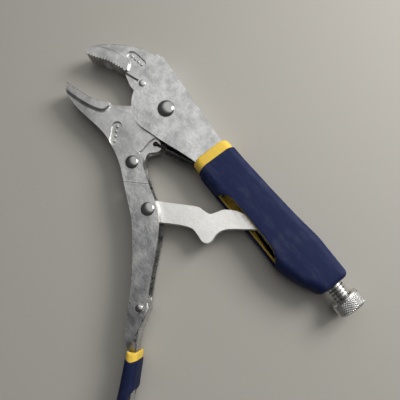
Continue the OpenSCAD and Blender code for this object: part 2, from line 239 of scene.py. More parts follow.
def closed_mesh(name: str, bm: bmesh.types.BMesh) -> bpy.types.Mesh:
    """Turn worked geometry into a mesh with its faces outwards.

    Args:
        name: Name of the mesh.
        bm: The geometry, which is freed.

    Returns:
        The mesh.
    """
    bmesh.ops.recalc_face_normals(bm, faces=bm.faces[:])
    mesh = bpy.data.meshes.new(name)
    bm.to_mesh(mesh)
    bm.free()
    return mesh


def skin(name: str, rings: Sequence[Sequence[Sequence[float]]], capped: bool = True) -> bpy.types.Mesh:
    """Stretch a skin over rings of points.

    Args:
        name: Name of the mesh.
        rings: Rings with the same number of points each, in mm.
        capped: Whether the first and last rings are closed with a face.

    Returns:
        The mesh.
    """
    bm = bmesh.new()
    rows = [[bm.verts.new(p) for p in ring] for ring in rings]
    count = len(rings[0])
    for near, far in zip(rows, rows[1:]):
        for i in range(count):
            j = (i + 1) % count
            bm.faces.new((near[i], near[j], far[j], far[i]))
    if capped:
        bm.faces.new(rows[0])
        bm.faces.new(rows[-1])
    bmesh.ops.remove_doubles(bm, verts=bm.verts[:], dist=1e-4)
    return closed_mesh(name, bm)


class Blank:
    """A closed solid in millimetres that is cut, joined and rounded until it is a piece."""

    def __init__(self, mesh: bpy.types.Mesh) -> None:
        """Lay the mesh on the bench."""
        self.obj = bpy.data.objects.new(mesh.name, mesh)
        bpy.context.scene.collection.objects.link(self.obj)

    @classmethod
    def plate(cls, outline: Sequence[Point], low: float, high: float,
              bent: Iterable[int] = (), radius: float = 0.0, segments: int = 10) -> "Blank":
        """Cut a plate from an outline, with some of its edges bent round.

        Args:
            outline: Points of the outline.
            low: Z of the lower face.
            high: Z of the upper face.
            bent: Numbers of the outline's sides whose two long edges are rounded.
            radius: Radius of that rounding.
            segments: Pieces across the rounding.

        Returns:
            The plate.
        """
        bm = bmesh.new()
        rows = [[bm.verts.new((x, y, z)) for x, y in outline] for z in (low, high)]
        bm.faces.new(rows[0][::-1])
        bm.faces.new(rows[1])
        count = len(outline)
        for i in range(count):
            j = (i + 1) % count
            bm.faces.new((rows[0][i], rows[0][j], rows[1][j], rows[1][i]))
        chosen = set(bent)
        if chosen:
            edges = [bm.edges.get((row[i], row[(i + 1) % count])) for row in rows for i in chosen]
            bmesh.ops.bevel(bm, geom=edges, offset=radius, segments=segments, profile=0.5,
                            affect="EDGES", clamp_overlap=True)
        return cls(closed_mesh("plate", bm))

    @classmethod
    def disc(cls, centre: Point, radius: float, low: float, high: float, sides: int = 64) -> "Blank":
        """Cut a round plate, or a plug that drills a round hole."""
        return cls.plate(arc(centre, radius, 0, 360 - 360 / sides, sides - 1), low, high)

    @classmethod
    def lathe(cls, profile: Sequence[Point], sides: int = 96) -> "Blank":
        """Turn a profile about the Z axis.

        Args:
            profile: Radius and height of each point; both ends lie on the axis.
            sides: Pieces round the axis.

        Returns:
            The turned solid.
        """
        turns = [2 * math.pi * k / sides for k in range(sides)]
        rings = [[(r * math.cos(a), r * math.sin(a), z) for a in turns] for r, z in profile]
        return cls(skin("turned", rings, capped=False))

    def _change(self, kind: str, **settings: Any) -> "Blank":
        """Put one modifier on the blank and apply it.

        Args:
            kind: The modifier's type.
            **settings: Its settings.

        Returns:
            The blank.
        """
        LOG.debug("%s on %d faces", kind, len(self.obj.data.polygons))
        modifier = self.obj.modifiers.new(kind.lower(), kind)
        for key, value in settings.items():
            setattr(modifier, key, value)
        bpy.context.view_layer.update()
        graph = bpy.context.evaluated_depsgraph_get()
        mesh = bpy.data.meshes.new_from_object(self.obj.evaluated_get(graph))
        self.obj.modifiers.clear()
        self.obj.data = mesh
        return self

    def _torn(self) -> int:
        """Count the edges that do not join two faces."""
        bm = bmesh.new()
        bm.from_mesh(self.obj.data)
        torn = sum(not edge.is_manifold for edge in bm.edges)
        bm.free()
        return torn

    def _combine(self, operation: str, tools: Sequence["Blank"]) -> "Blank":
        """Cut away or add each tool in turn, and clear it off the bench."""
        for tool in tools:
            before = self.obj.data
            results = []
            for solver in ("MANIFOLD", "EXACT"):
                self.obj.data = before
                self._change("BOOLEAN", operation=operation, object=tool.obj, solver=solver)
                results.append((self._torn(), self.obj.data))
                if not results[-1][0]:
                    break
            torn, self.obj.data = min(results, key=lambda result: result[0])
            if torn:
                LOG.warning("%s left %d torn edges", operation, torn)
            bpy.data.objects.remove(tool.obj)
        return self

    def cut(self, *tools: "Blank") -> "Blank":
        """Take the tools away from the blank."""
        return self._combine("DIFFERENCE", tools)

    def join(self, *tools: "Blank") -> "Blank":
        """Weld the tools to the blank."""
        return self._combine("UNION", tools)

    def shape(self, move: Callable[[Vector], Vector]) -> "Blank":
        """Move every point of the blank."""
        for vertex in self.obj.data.vertices:
            vertex.co = move(vertex.co)
        return self

    def slice(self, places: Iterable[float]) -> "Blank":
        """Add a loop of edges across the blank at each X."""
        bm = bmesh.new()
        bm.from_mesh(self.obj.data)
        for x in places:
            everything = bm.verts[:] + bm.edges[:] + bm.faces[:]
            bmesh.ops.bisect_plane(bm, geom=everything, plane_co=(x, 0, 0), plane_no=(1, 0, 0))
        bm.to_mesh(self.obj.data)
        bm.free()
        return self

    def round(self, width: float, segments: int = 2, angle: float = 35.0) -> "Blank":
        """Break the sharp edges.

        Args:
            width: Width of the rounding.
            segments: Pieces across it.
            angle: Smallest angle that counts as sharp, in degrees.

        Returns:
            The blank.
        """
        return self._change("BEVEL", width=width, segments=segments, limit_method="ANGLE",
                            angle_limit=math.radians(angle), use_clamp_overlap=True,
                            miter_outer="MITER_ARC")

    def polish(self, angle: float = 40.0, flat_area: float = 6.0) -> "Blank":
        """Shade the blank smoothly, with its broad many-sided faces dead flat.

        Args:
            angle: Edges sharper than this stay sharp, in degrees.
            flat_area: Smallest face that is kept flat, in square mm.

        Returns:
            The blank.
        """
        mesh = self.obj.data
        mesh.shade_smooth()
        mesh.set_sharp_from_angle(angle=math.radians(angle))
        for face in mesh.polygons:
            if face.area > flat_area and len(face.vertices) > 6:
                for corner in face.loop_indices:
                    mesh.edges[mesh.loops[corner].edge_index].use_edge_sharp = True
        return self

    def place(self, where: Matrix) -> bpy.types.Mesh:
        """Move the finished shape into the row frame.

        Args:
            where: The frame that the blank was drawn in.

        Returns:
            The mesh, in metres.
        """
        mesh = self.obj.data
        bpy.data.objects.remove(self.obj)
        mesh.transform(where)
        mesh.update()
        return mesh


# ---- node trees -------------------------------------------------------------


class Wire:
    """A node's output that takes part in arithmetic."""

    def __init__(self, bench: "Bench", socket: bpy.types.NodeSocket) -> None:
        """Hold one output of a node tree."""
        self.bench = bench
        self.socket = socket

    def _math(self, operation: str, first: Any, second: Any) -> "Wire":
        """Add one Math node."""
        return self.bench.add("ShaderNodeMath", {"operation": operation}, {0: first, 1: second})

    def __add__(self, other: Any) -> "Wire":
        """Add a number or an output."""
        return self._math("ADD", self, other)

    __radd__ = __add__

    def __mul__(self, other: Any) -> "Wire":
        """Multiply by a number or an output."""
        return self._math("MULTIPLY", self, other)

    __rmul__ = __mul__

    def __sub__(self, other: Any) -> "Wire":
        """Take a number or an output away."""
        return self._math("SUBTRACT", self, other)

    def __rsub__(self, other: Any) -> "Wire":
        """Take this output away from a number."""
        return self._math("SUBTRACT", other, self)


class Bench:
    """A node tree that is being built."""

    def __init__(self, tree: bpy.types.NodeTree) -> None:
        """Clear the tree and start on it."""
        self.tree = tree
        tree.nodes.clear()

    def add(self, kind: str, settings: dict[str, Any] | None = None,
            inputs: dict[str | int, Any] | None = None, output: str | int = 0) -> Wire:
        """Add a node.

        Args:
            kind: The node's type.
            settings: Its settings; "stops" fills a colour ramp.
            inputs: A value or a Wire for each socket, by name or number.
            output: The output to hand back.

        Returns:
            That output.
        """
        node = self.tree.nodes.new(kind)
        for key, value in (settings or {}).items():
            if key == "stops":
                self._fill_ramp(node.color_ramp, value)
            else:
                setattr(node, key, value)
        for key, value in (inputs or {}).items():
            if isinstance(value, Wire):
                self.tree.links.new(value.socket, node.inputs[key])
            else:
                node.inputs[key].default_value = value
        return Wire(self, node.outputs[output] if node.outputs else None)

    @staticmethod
    def _fill_ramp(ramp: bpy.types.ColorRamp, stops: Sequence[tuple[float, Colour]]) -> None:
        """Set the stops of a colour ramp."""
        while len(ramp.elements) < len(stops):
            ramp.elements.new(1.0)
        for element, (position, colour) in zip(ramp.elements, stops):
            element.position = position
            element.color = colour

    def noise(self, at: Wire, scale: float, detail: float = 3.0, rough: float = 0.5) -> Wire:
        """Add a noise that reads a position and gives 0 to 1."""
        return self.add("ShaderNodeTexNoise", None,
                        {"Vector": at, "Scale": scale, "Detail": detail, "Roughness": rough})

    def ramp(self, value: Wire, low: float, high: float) -> Wire:
        """Stretch a value so that low gives 0 and high gives 1, held at both ends."""
        return self.add("ShaderNodeMapRange", {"interpolation_type": "SMOOTHSTEP"},
                        {"Value": value, "From Min": low, "From Max": high})

    def blend(self, share: Any, first: Any, second: Any) -> Wire:
        """Mix two colours."""
        return self.add("ShaderNodeMix", {"data_type": "RGBA"}, {0: share, 6: first, 7: second}, 2)

    def stretched(self, at: Wire, scale: tuple[float, float, float], turn: float = 0.0) -> Wire:
        """Turn and stretch a position, so that a pattern runs along one direction."""
        return self.add("ShaderNodeMapping", None,
                        {"Vector": at, "Rotation": (0.0, 0.0, turn), "Scale": scale})


@dataclass(frozen=True)
class Metal:
    """A bare or plated metal finish with cloudy patches, fine grain and handling marks."""

    name: str
    dark: Colour
    light: Colour
    roughness: float
    patchiness: float = 0.12
    patch_size: float = 0.012
    grain_size: float = 0.0006
    grain_height: float = 0.00002
    wave_height: float = 0.0
    mark_strength: float = 0.1
    grime: Colour = (0.16, 0.155, 0.15, 1.0)
    grime_share: float = 0.25
    turn: float = 0.0

    def material(self) -> bpy.types.Material:
        """Build the material.

        Returns:
            The material.
        """
        material = bpy.data.materials.new(self.name)
        material.use_nodes = True
        bench = Bench(material.node_tree)
        at = bench.add("ShaderNodeTexCoord", output="Object")
        patches = bench.noise(at, 1 / self.patch_size, 4.0, 0.6)
        fine = bench.noise(at, 0.35 / self.grain_size, 5.0, 0.65)
        grain = bench.noise(at, 1 / self.grain_size, 2.0, 0.6)
        marks = bench.noise(bench.stretched(at, (90.0, 1400.0, 400.0), self.turn), 1.0, 2.0, 0.7)
        scratches = bench.ramp(marks, 0.62, 0.72)
        dirt = bench.ramp(patches * 0.5 + fine * 0.5, 0.5, 0.68) * self.grime_share
        clean = bench.blend(bench.ramp(patches, 0.3, 0.7), self.dark, self.light)
        colour = bench.blend(dirt, clean, self.grime)
        rough = (patches - 0.5) * self.patchiness + (fine - 0.5) * self.patchiness
        rough = rough + self.roughness + scratches * self.mark_strength + dirt * 0.3
        bump = bench.add("ShaderNodeBump", None,
                         {"Strength": 1.0, "Distance": self.grain_height,
                          "Height": grain + fine * 0.8 - scratches * 0.6})
        if self.wave_height:
            bump = bench.add("ShaderNodeBump", None,
                             {"Strength": 1.0, "Distance": self.wave_height, "Height": patches,
                              "Normal": bump})
        shader = bench.add("ShaderNodeBsdfPrincipled", None,
                           {"Base Color": colour, "Metallic": 1.0, "Roughness": rough, "Normal": bump})
        bench.add("ShaderNodeOutputMaterial", None, {"Surface": shader})
        return material


@dataclass(frozen=True)
class Rubber:
    """A moulded rubber finish with a fine matt grain, rubbed patches and dust."""

    name: str
    colour: Colour
    worn: Colour
    dust: Colour
    dust_share: float
    roughness: float = 0.62
    grain_size: float = 0.0008
    grain_height: float = 0.00003
    turn: float = 0.0

    def material(self) -> bpy.types.Material:
        """Build the material.

        Returns:
            The material.
        """
        material = bpy.data.materials.new(self.name)
        material.use_nodes = True
        bench = Bench(material.node_tree)
        at = bench.add("ShaderNodeTexCoord", output="Object")
        patches = bench.noise(at, 70.0, 4.0, 0.6)
        fine = bench.noise(at, 420.0, 5.0, 0.7)
        grain = bench.noise(at, 1 / self.grain_size, 3.0, 0.6)
        rubbed = bench.noise(bench.stretched(at, (60.0, 260.0, 160.0), self.turn), 1.0, 4.0, 0.65)
        worn = bench.ramp(rubbed, 0.42, 0.72)
        specks = bench.ramp(fine, 0.56, 0.72)
        dust = bench.ramp(patches * 0.55 + rubbed * 0.45, 0.47, 0.66)
        dusty = dust * self.dust_share * (0.55 + 0.45 * specks) + specks * self.dust_share * 0.18
        colour = bench.blend(worn * 0.55, self.colour, self.worn)
        colour = bench.blend(dusty, colour, self.dust)
        rough = self.roughness + dusty * 0.25 + (fine - 0.5) * 0.1
        bump = bench.add("ShaderNodeBump", None,
                         {"Strength": 1.0, "Distance": self.grain_height, "Height": grain + fine * 0.7})
        shader = bench.add("ShaderNodeBsdfPrincipled", None,
                           {"Base Color": colour, "Roughness": rough, "Normal": bump,
                            "Specular IOR Level": 0.22})
        bench.add("ShaderNodeOutputMaterial", None, {"Surface": shader})
        return material


HANDLE_TURN = math.radians(43.5)

FINISHES: dict[str, Metal | Rubber] = {
    "plated": Metal("satin_plated_steel", (0.38, 0.385, 0.39, 1.0), (0.72, 0.72, 0.71, 1.0), 0.27,
                     wave_height=0.0003),
    "forged": Metal("forged_plated_steel", (0.42, 0.42, 0.415, 1.0), (0.74, 0.74, 0.73, 1.0), 0.3,
                    wave_height=0.0002, grain_size=0.0009, grain_height=0.00005),
    "cast": Metal("bright_cast_steel", (0.88, 0.87, 0.84, 1.0), (0.97, 0.965, 0.94, 1.0), 0.4,
                  patchiness=0.08, grain_size=0.0011, grain_height=0.00007, grime_share=0.12),
    "rivet": Metal("polished_rivet_steel", (0.3, 0.3, 0.3, 1.0), (0.46, 0.46, 0.45, 1.0), 0.16,
                   patchiness=0.06, grain_height=0.000006, grime_share=0.15),
    "screw": Metal("machined_screw_steel", (0.56, 0.56, 0.55, 1.0), (0.8, 0.79, 0.77, 1.0), 0.26,
                   patchiness=0.1, grain_height=0.00001, grime_share=0.3),
    "spring": Metal("blackened_spring_wire", (0.1, 0.1, 0.105, 1.0), (0.2, 0.2, 0.2, 1.0), 0.24,
                    grime=(0.12, 0.11, 0.1, 1.0), grime_share=0.3, grain_height=0.00001),
    "yellow": Rubber("yellow_inner_rubber", (0.83, 0.56, 0.075, 1.0), (0.72, 0.5, 0.12, 1.0),
                     (0.42, 0.34, 0.16, 1.0), 0.35),
    "blue": Rubber("navy_outer_rubber", (0.006, 0.013, 0.058, 1.0), (0.012, 0.022, 0.08, 1.0),
                   (0.11, 0.118, 0.14, 1.0), 0.3, 0.66),
    # The movable grip's navy is a dimmed copy of the navy rubber above. Its darker colours are painted shade,
    # for the grip that lies away from the window light.
    "blue_handle": Rubber("navy_sleeve_rubber", (0.0045, 0.0095, 0.043, 1.0), (0.008, 0.015, 0.056, 1.0),
                          (0.09, 0.096, 0.115, 1.0), 0.16, 0.66, turn=HANDLE_TURN),
}


class Finisher:
    """Makes each material once."""

    def __init__(self) -> None:
        """Start with no material made."""
        self.made: dict[str, bpy.types.Material] = {}

    def __call__(self, name: str) -> bpy.types.Material:
        """Give the material of a finish, and make it on its first use."""
        if name not in self.made:
            self.made[name] = FINISHES[name].material()
        return self.made[name]


FINISH = Finisher()


# ---- geometry node trees ----------------------------------------------------


class PathTree:
    """Base of the node trees that work along a drawn path."""

    title = "path"
    sizes: dict[str, str] = {}

    def __init__(self) -> None:
        """Create the tree with its named inputs and build it."""
        self.tree = bpy.data.node_groups.new(self.title, "GeometryNodeTree")
        face = self.tree.interface
        face.new_socket("Geometry", in_out="OUTPUT", socket_type="NodeSocketGeometry")
        face.new_socket("Geometry", in_out="INPUT", socket_type="NodeSocketGeometry")
        for name, kind in self.sizes.items():
            face.new_socket(name, in_out="INPUT", socket_type=kind)
        self.bench = Bench(self.tree)
        self.entry = self.tree.nodes.new("NodeGroupInput")
        self.build()

    def given(self, name: str) -> Wire:
        """Read one of the tree's inputs."""
        return Wire(self.bench, self.entry.outputs[name])

    def build(self) -> None:
        """Lay out the tree's nodes."""
        raise NotImplementedError

    def close(self, geometry: Wire) -> None:
        """End the tree in real geometry with its material set."""
        real = self.bench.add("GeometryNodeRealizeInstances", None, {0: geometry})
        coated = self.bench.add("GeometryNodeSetMaterial", None,
                                {"Geometry": real, "Material": self.given("Material")})
        self.bench.add("NodeGroupOutput", None, {0: coated})

    def run(self, path: Sequence[Sequence[float]], **values: Any) -> bpy.types.Mesh:
        """Run the tree along a path.

        Args:
            path: Points of the path, in mm.
            **values: The inputs, with underscores for spaces.

        Returns:
            The mesh that comes out, in mm.
        """
        line = bpy.data.meshes.new("path")
        line.from_pydata([tuple(p) for p in path], [(i, i + 1) for i in range(len(path) - 1)], [])
        holder = bpy.data.objects.new("path", line)
        bpy.context.scene.collection.objects.link(holder)
        modifier = holder.modifiers.new("tree", "NODES")
        modifier.node_group = self.tree
        sockets = {item.name: item.identifier for item in self.tree.interface.items_tree
                   if item.in_out == "INPUT"}
        for key, value in values.items():
            modifier[sockets[key.replace("_", " ")]] = value
        bpy.context.view_layer.update()
        graph = bpy.context.evaluated_depsgraph_get()
        mesh = bpy.data.meshes.new_from_object(holder.evaluated_get(graph))
        bpy.data.objects.remove(holder)
        return mesh


class WireTree(PathTree):
    """Sweeps a round wire along a path."""

    title = "wire_along_path"
    sizes = {"Wire Radius": "NodeSocketFloat", "Sides": "NodeSocketInt", "Material": "NodeSocketMaterial"}

    def build(self) -> None:
        """Sweep a circle along the path and close its ends."""
        curve = self.bench.add("GeometryNodeMeshToCurve", None, {"Mesh": self.given("Geometry")})
        ring = self.bench.add("GeometryNodeCurvePrimitiveCircle", None,
                              {"Radius": self.given("Wire Radius"), "Resolution": self.given("Sides")})
        wire = self.bench.add("GeometryNodeCurveToMesh", None,
                              {"Curve": curve, "Profile Curve": ring, "Fill Caps": True})
        self.close(self.bench.add("GeometryNodeSetShadeSmooth", None, {"Geometry": wire}))


class RowTree(PathTree):
    """Sets copies of a tool along a path, each facing along it."""

    title = "row_along_path"
    sizes = {"Spacing": "NodeSocketFloat", "Lean": "NodeSocketFloat", "Tool": "NodeSocketObject",
             "Material": "NodeSocketMaterial"}

    def build(self) -> None:
        """Space points along the path and set the tool on each."""
        bench = self.bench
        curve = bench.add("GeometryNodeMeshToCurve", None, {"Mesh": self.given("Geometry")})
        spaced = bench.add("GeometryNodeCurveToPoints", {"mode": "LENGTH"},
                           {"Curve": curve, "Length": self.given("Spacing")})
        tangent = Wire(bench, spaced.socket.node.outputs["Tangent"])
        facing = bench.add("FunctionNodeAlignRotationToVector", {"axis": "X", "pivot_axis": "Z"},
                           {"Vector": tangent})
        lean = bench.add("ShaderNodeCombineXYZ", None, {"Z": self.given("Lean")})
        turned = bench.add("FunctionNodeRotateRotation", {"rotation_space": "LOCAL"},
                           {"Rotation": facing, "Rotate By": lean})
        tool = bench.add("GeometryNodeObjectInfo", None, {"Object": self.given("Tool")}, "Geometry")
        self.close(bench.add("GeometryNodeInstanceOnPoints", None,
                             {"Points": spaced, "Instance": tool, "Rotation": turned}))

    def row(self, path: Sequence[Point], spacing: float, tool: Blank, height: float = 0.0,
            lean: float = 0.0) -> Blank:
        """Set a tool along a flat path.

        Args:
            path: Points of the path.
            spacing: Distance between copies.
            tool: The tool, which is used up.
            height: Z of the path.
            lean: Extra turn of each copy, in radians.

        Returns:
            All copies as one blank.
        """
        mesh = self.run([(x, y, height) for x, y in path], Spacing=spacing, Lean=lean, Tool=tool.obj)
        bpy.data.objects.remove(tool.obj)
        return Blank(mesh)


# ---- places -----------------------------------------------------------------


@dataclass
class Layout:
    """The three drawing frames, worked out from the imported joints."""

    toggle_open: float = 44.4
    lever_local: Point = (92.0, 18.6)
    plan: Matrix = field(init=False)
    handle: Matrix = field(init=False)
    toggle: Matrix = field(init=False)
    pivots: dict[str, Vector] = field(init=False)

    def __post_init__(self) -> None:
        """Read the pivots and set up the frames."""
        self.pivots = {j["name"]: Vector(j["pos_m"]) for j in frame["joints"] if "pos_m" in j}
        handle_pivot = self.pivots["handle_swing"]
        reach = self.pivots["lever_press"] - handle_pivot
        heading = math.atan2(reach.y, reach.x) - math.atan2(self.lever_local[1], self.lever_local[0])
        self.plan = self._frame(self.pivots["jaw_close"], 0.0)
        self.handle = self._frame(handle_pivot, heading)
        self.toggle = self._frame(self.pivots["toggle_swing"], math.radians(self.toggle_open))

    @staticmethod
    def _frame(origin: Vector, turn: float) -> Matrix:
        """Build a frame in mm at an origin in metres."""
        return Matrix.Translation(origin) @ Matrix.Rotation(turn, 4, "Z") @ Matrix.Scale(MM, 4)

    def on_plan(self, point: Vector) -> Point:
        """Give a row-frame point in plan millimetres."""
        local = self.plan.inverted() @ point
        return local.x, local.y


def fit(name: str, mesh: bpy.types.Mesh, finish: str, body: Body, slot: Slot,
        *nodes: str) -> bpy.types.Object:
    """Put a finished piece into the model in place of its CAD nodes.

    Args:
        name: Name of the piece.
        mesh: Its mesh, in the row frame.
        finish: Its finish.
        body: The body it moves with.
        slot: The record's finish slot; not used.
        *nodes: The CAD nodes that it stands for.

    Returns:
        The piece.
    """
    mesh.name = name
    mesh.materials.clear()
    mesh.materials.append(FINISH(finish))
    piece = bpy.data.objects.new(name, mesh)
    bpy.context.scene.collection.objects.link(piece)
    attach(piece, body.value)
    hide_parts(*nodes)
    LOG.info("%s: %d faces on %s", name, len(mesh.polygons), body.value)
    return piece


def dome(radius: float, seat: float, top: float, rim: float = 0.35, steps: int = 14) -> list[Point]:
    """Draw a rivet head's profile, from its rim to its crown.

    Args:
        radius: Radius of the head.
        seat: Height of the sheet under it.
        top: Height of its crown.
        rim: Height of the upright rim.
        steps: Pieces in the curve.

    Returns:
        Radius and height of each point.
    """
    rise = top - seat - rim
    points = [(radius, seat), (radius, seat + rim * 0.7)]
    turns = [math.pi / 2 * k / steps for k in range(1, steps + 1)]
    points += [(radius * math.cos(a) ** 0.9, seat + rim + rise * math.sin(a) ** 1.15) for a in turns[:-1]]
    return points + [(0.0, top)]


def rivet(shank: float, head: float, seat: float, top: float) -> Blank:
    """Turn a rivet with two domed heads.

    Args:
        shank: Radius of its shank.
        head: Radius of its heads.
        seat: Half of the grip between its heads.
        top: Half of its whole height.

    Returns:
        The rivet, about the origin.
    """
    half = [(shank, 0.0), (shank, seat)] + dome(head, seat, top)
    whole = [(r, -z) for r, z in half[::-1]] + half[1:]
    return Blank.lathe(whole)


# ---- fixed handle -----------------------------------------------------------


@dataclass
class Teeth:
    """Serrations across a jaw pad."""

    pitch: float = 2.3
    depth: float = 1.25
    reach: float = 8.0
    clear: float = 3.0

    def cutter(self, line: Sequence[Point]) -> Blank:
        """Make the saw-edged tool that cuts the teeth.

        Args:
            line: The tooth line, with the jaw on its right.

        Returns:
            The cutter.
        """
        tips = evenly(line, self.pitch / 2)
        roots = offset(tips, -self.depth)
        edge = [roots[i] if i % 2 else tips[i] for i in range(len(tips))]
        outside = offset(tips, self.clear)[::-1]
        return Blank.plate(edge + outside, -self.reach, self.reach)


def raised_pad(fixed: Sequence[Point], rim: Sequence[Point], side: int, half: float, face: float,
               cove: float) -> Blank:
    """Forge a toothed pad whose flank runs out in a cove into the jaw's side.

    Args:
        fixed: The part of its outline along the teeth.
        rim: The rest of its outline, along the flank.
        side: 1 when the jaw lies on the rim's left, and -1 on its right.
        half: Half thickness of the pad.
        face: Half thickness of the jaw.
        cove: Width of the cove.

    Returns:
        The pad.
    """
    turns = [math.pi / 2 * k / 6 for k in range(7)]
    crown = half - 0.35
    steps = [(half, -0.35), (half - 0.1, -0.1)]
    steps += [(crown - (crown - face) * math.sin(a), cove * (1 - math.cos(a))) for a in turns]
    steps.append((face - 0.7, cove + 0.02))
    last = len(rim) - 1
    rings = []
    for z, grown in steps + [(-z, grown) for z, grown in reversed(steps)]:
        moved = offset(rim, side * grown)
        edge = [tuple(Vector(rim[i]).lerp(Vector(p), min(1.0, (last - i) / 5))) for i, p in enumerate(moved)]
        rings.append([(x, y, z) for x, y in [*fixed, *edge]])
    return Blank(skin("pad", rings))


@dataclass
class Recess:
    """A shallow round-ended recess with a row of plain pips, on both sides of a jaw."""

    start: Point
    end: Point
    radius: float = 3.5
    depth: float = 1.3
    slope: float = 0.8
    pip_radius: float = 1.0
    pip_height: float = 0.9
    pip_spacing: float = 2.9

    def cut_into(self, blank: Blank, rows: RowTree, face: float) -> Blank:
        """Sink the recess and stand the pips in it.

        Args:
            blank: The jaw.
            rows: The tree that sets tools along a path.
            face: Half thickness of the jaw there.

        Returns:
            The jaw.
        """
        outline = stadium(self.start, self.end, self.radius)
        floor = face - self.depth
        for side in (1, -1):
            sink = Blank.plate(outline, floor, face + 6, range(len(outline)), self.slope, 3)
            pip = Blank.plate(arc((0, 0), self.pip_radius, 0, 345, 23), floor - 0.6, floor + self.pip_height)
            pips = rows.row([self.start, self.end], self.pip_spacing, pip.round(0.4, 3, 60))
            for tool in (sink, pips):
                tool.shape(lambda p, s=side: Vector((p.x, p.y, p.z * s)))
                if side < 0:
                    tool.obj.data.flip_normals()
            blank.cut(sink).join(pips)
        return blank


@dataclass
class FixedHandle:
    """The bent channel, the jaw staked into it and the rivet that the lower jaw turns on."""

    layout: Layout
    rows: RowTree
    outer: float = 7.5
    wall: float = 2.5
    bend: float = 3.2
    neck_end: float = 152.0
    screw_y: float = 12.4
    stake: Point = (-26.0, -1.8)
    jaw_half: float = 4.8
    pad_half: float = 6.6
    heel_half: float = 3.2
    cove: float = 1.7
    tail: tuple[tuple[float, float, float], ...] = (
        (60, -7.2, 15.6), (75, -6.9, 16.3), (90, -5.8, 17), (110, -5.4, 18.2), (126, -5.4, 19.75),
        (134, -3.8, 19.75), (142, -0.95, 19.55), (152, 4.05, 19.35))

    def outline(self) -> tuple[list[Point], range]:
        """Draw the channel's side.

        Returns:
            The outline, and the numbers of its sides along the bend.
        """
        front = [(-37, 19.2), (-36.7, 12.7), (-34, 6.4), (-30, -1.7), (-25.5, -9.1)]
        low = smooth([(-25.5, -9.1), (-22, -13.5), (-17, -17.4), (-11.6, -20.1), (-5.9, -21.2), (0.3, -20.5),
                      (6.8, -18.4), (13.6, -16.6), (22.9, -13.4), (30.5, -10.7), (38.3, -8.2), (42, -7.2)])
        under = [(x, y) for x, y, _ in self.tail]
        over = [(x, y) for x, _, y in self.tail[::-1]]
        top = smooth([(42, 15.2), (39, 15.2), (27, 16.3), (15, 17.3), (2, 18.4), (-11.5, 19.8), (-24, 20.6),
                      (-35, 21.1)], 3)
        points = smooth(front, 5)[:-1] + low + under + over + top
        first = len(points) - len(top) - len(over)
        return points, range(first, len(points) - 1)

    def build(self) -> None:
        """Build the four pieces."""
        place = self.layout.plan
        inner = self.outer - self.wall
        points, bent = self.outline()
        channel = Blank.plate(points, -self.outer, self.outer, bent, self.bend)
        roof = smooth([(-24, 18.1), (2, 15.9), (27, 13.8), (60, 13.1), (90, 14.5), (126, 16.5)], 3)
        hollow = [(-60, 18.6)] + roof + [(136, 16.4), (136, -30), (-60, -30)]
        channel.cut(Blank.plate(hollow, -inner, inner, range(0, len(roof) + 1), 1.2, 4))
        channel.cut(Blank.plate([(70, -40), (122, -40), (122, -2.6), (70, -2.6)], -11, 11))
        channel.join(self._bridge(inner))
        channel.cut(self._screw_hole())
        channel.round(0.45, 3)
        channel.cut(Blank.disc((0, 0), 4.0, -15, 15), Blank.disc(self.stake, 2.4, -15, 15, 48))
        mesh = channel.polish().place(place)
        fit("fixed_handle_channel_skin", mesh, "plated", Body.FIXED, Slot.PLATED, "fixed_handle_channel")

        mesh = self._upper_jaw().place(place)
        fit("upper_jaw_forging", mesh, "forged", Body.FIXED, Slot.PLATED, "upper_jaw")

        stake = rivet(2.4, 2.4, self.outer - 0.05, self.outer + 0.8)
        stake.shape(lambda p: p + Vector((*self.stake, 0)))
        fit("upper_jaw_stake_ends", stake.polish().place(place), "plated", Body.FIXED, Slot.PLATED,
            "upper_jaw_stake")

        pivot = rivet(4.0, 5.9, self.outer, 10.0)
        fit("jaw_rivet_domed", pivot.polish().place(place), "rivet", Body.FIXED, Slot.RIVET, "jaw_rivet")

    def _bridge(self, inner: float) -> Blank:
        """Make the lanced bridge that the spring hooks over."""
        half = inner + 0.5
        return Blank.lathe([(0, -half), (1.5, -half), (1.5, half), (0, half)], 32).shape(
            lambda p: p + Vector((58, -0.2, 0)))

    def _screw_hole(self) -> Blank:
        """Make the drill for the adjusting screw."""
        drill = Blank.lathe([(0, 110), (5.6, 110), (5.6, 170), (0, 170)], 48)
        return drill.shape(lambda p: Vector((p.z, p.y + self.screw_y, -p.x)))

    def _upper_jaw(self) -> Blank:
        """Forge the upper jaw with its toothed pad, heel step and recess."""
        back = smooth([(-76.5, -15), (-72.5, -7.2), (-66.9, -0.3), (-59.9, 6.5), (-52, 12.5), (-45, 16.4),
                       (-37, 18.3)])
        teeth = smooth([(-44, -6), (-49, -8), (-54.6, -10), (-60, -12.9), (-65, -16.2), (-71, -19.2)])
        pad = smooth([(-42.2, -3.8), (-46.2, 0.4), (-51.2, -0.1), (-57.5, -1.9), (-63.1, -4.3), (-69, -8.2),
                      (-76.2, -15)])
        heel = [(-18, 17.2), (-15.5, 8), (-24.3, -6.6), (-28.6, -8.7), (-32.4, -9.1), (-38.2, -7.7)]
        web = Blank.plate(back + heel + teeth + [(-75.4, -19.4)], -self.jaw_half, self.jaw_half)
        web.round(1.1, 4)
        web.join(raised_pad([(-75.4, -19.4)] + teeth[::-1] + [(-42.6, -5.5)], pad, -1, self.pad_half,
                            self.jaw_half, self.cove))
        step_line = [(-42.5, -5.6), (-30, -1.3), (-24, -6.4), (-28.7, -12), (-42.5, -11)]
        for side in (1, -1):
            ends = sorted((side * self.heel_half, side * 9.0))
            web.cut(Blank.plate(step_line, *ends, [0], 1.1, 4))
        Recess((-50.3, 5.1), (-40.3, 6.6)).cut_into(web, self.rows, self.jaw_half)
        web.cut(Teeth().cutter(teeth))
        web.cut(Blank.disc(self.stake, 2.4, -15, 15, 48))
        return web.round(0.16, 2).polish()


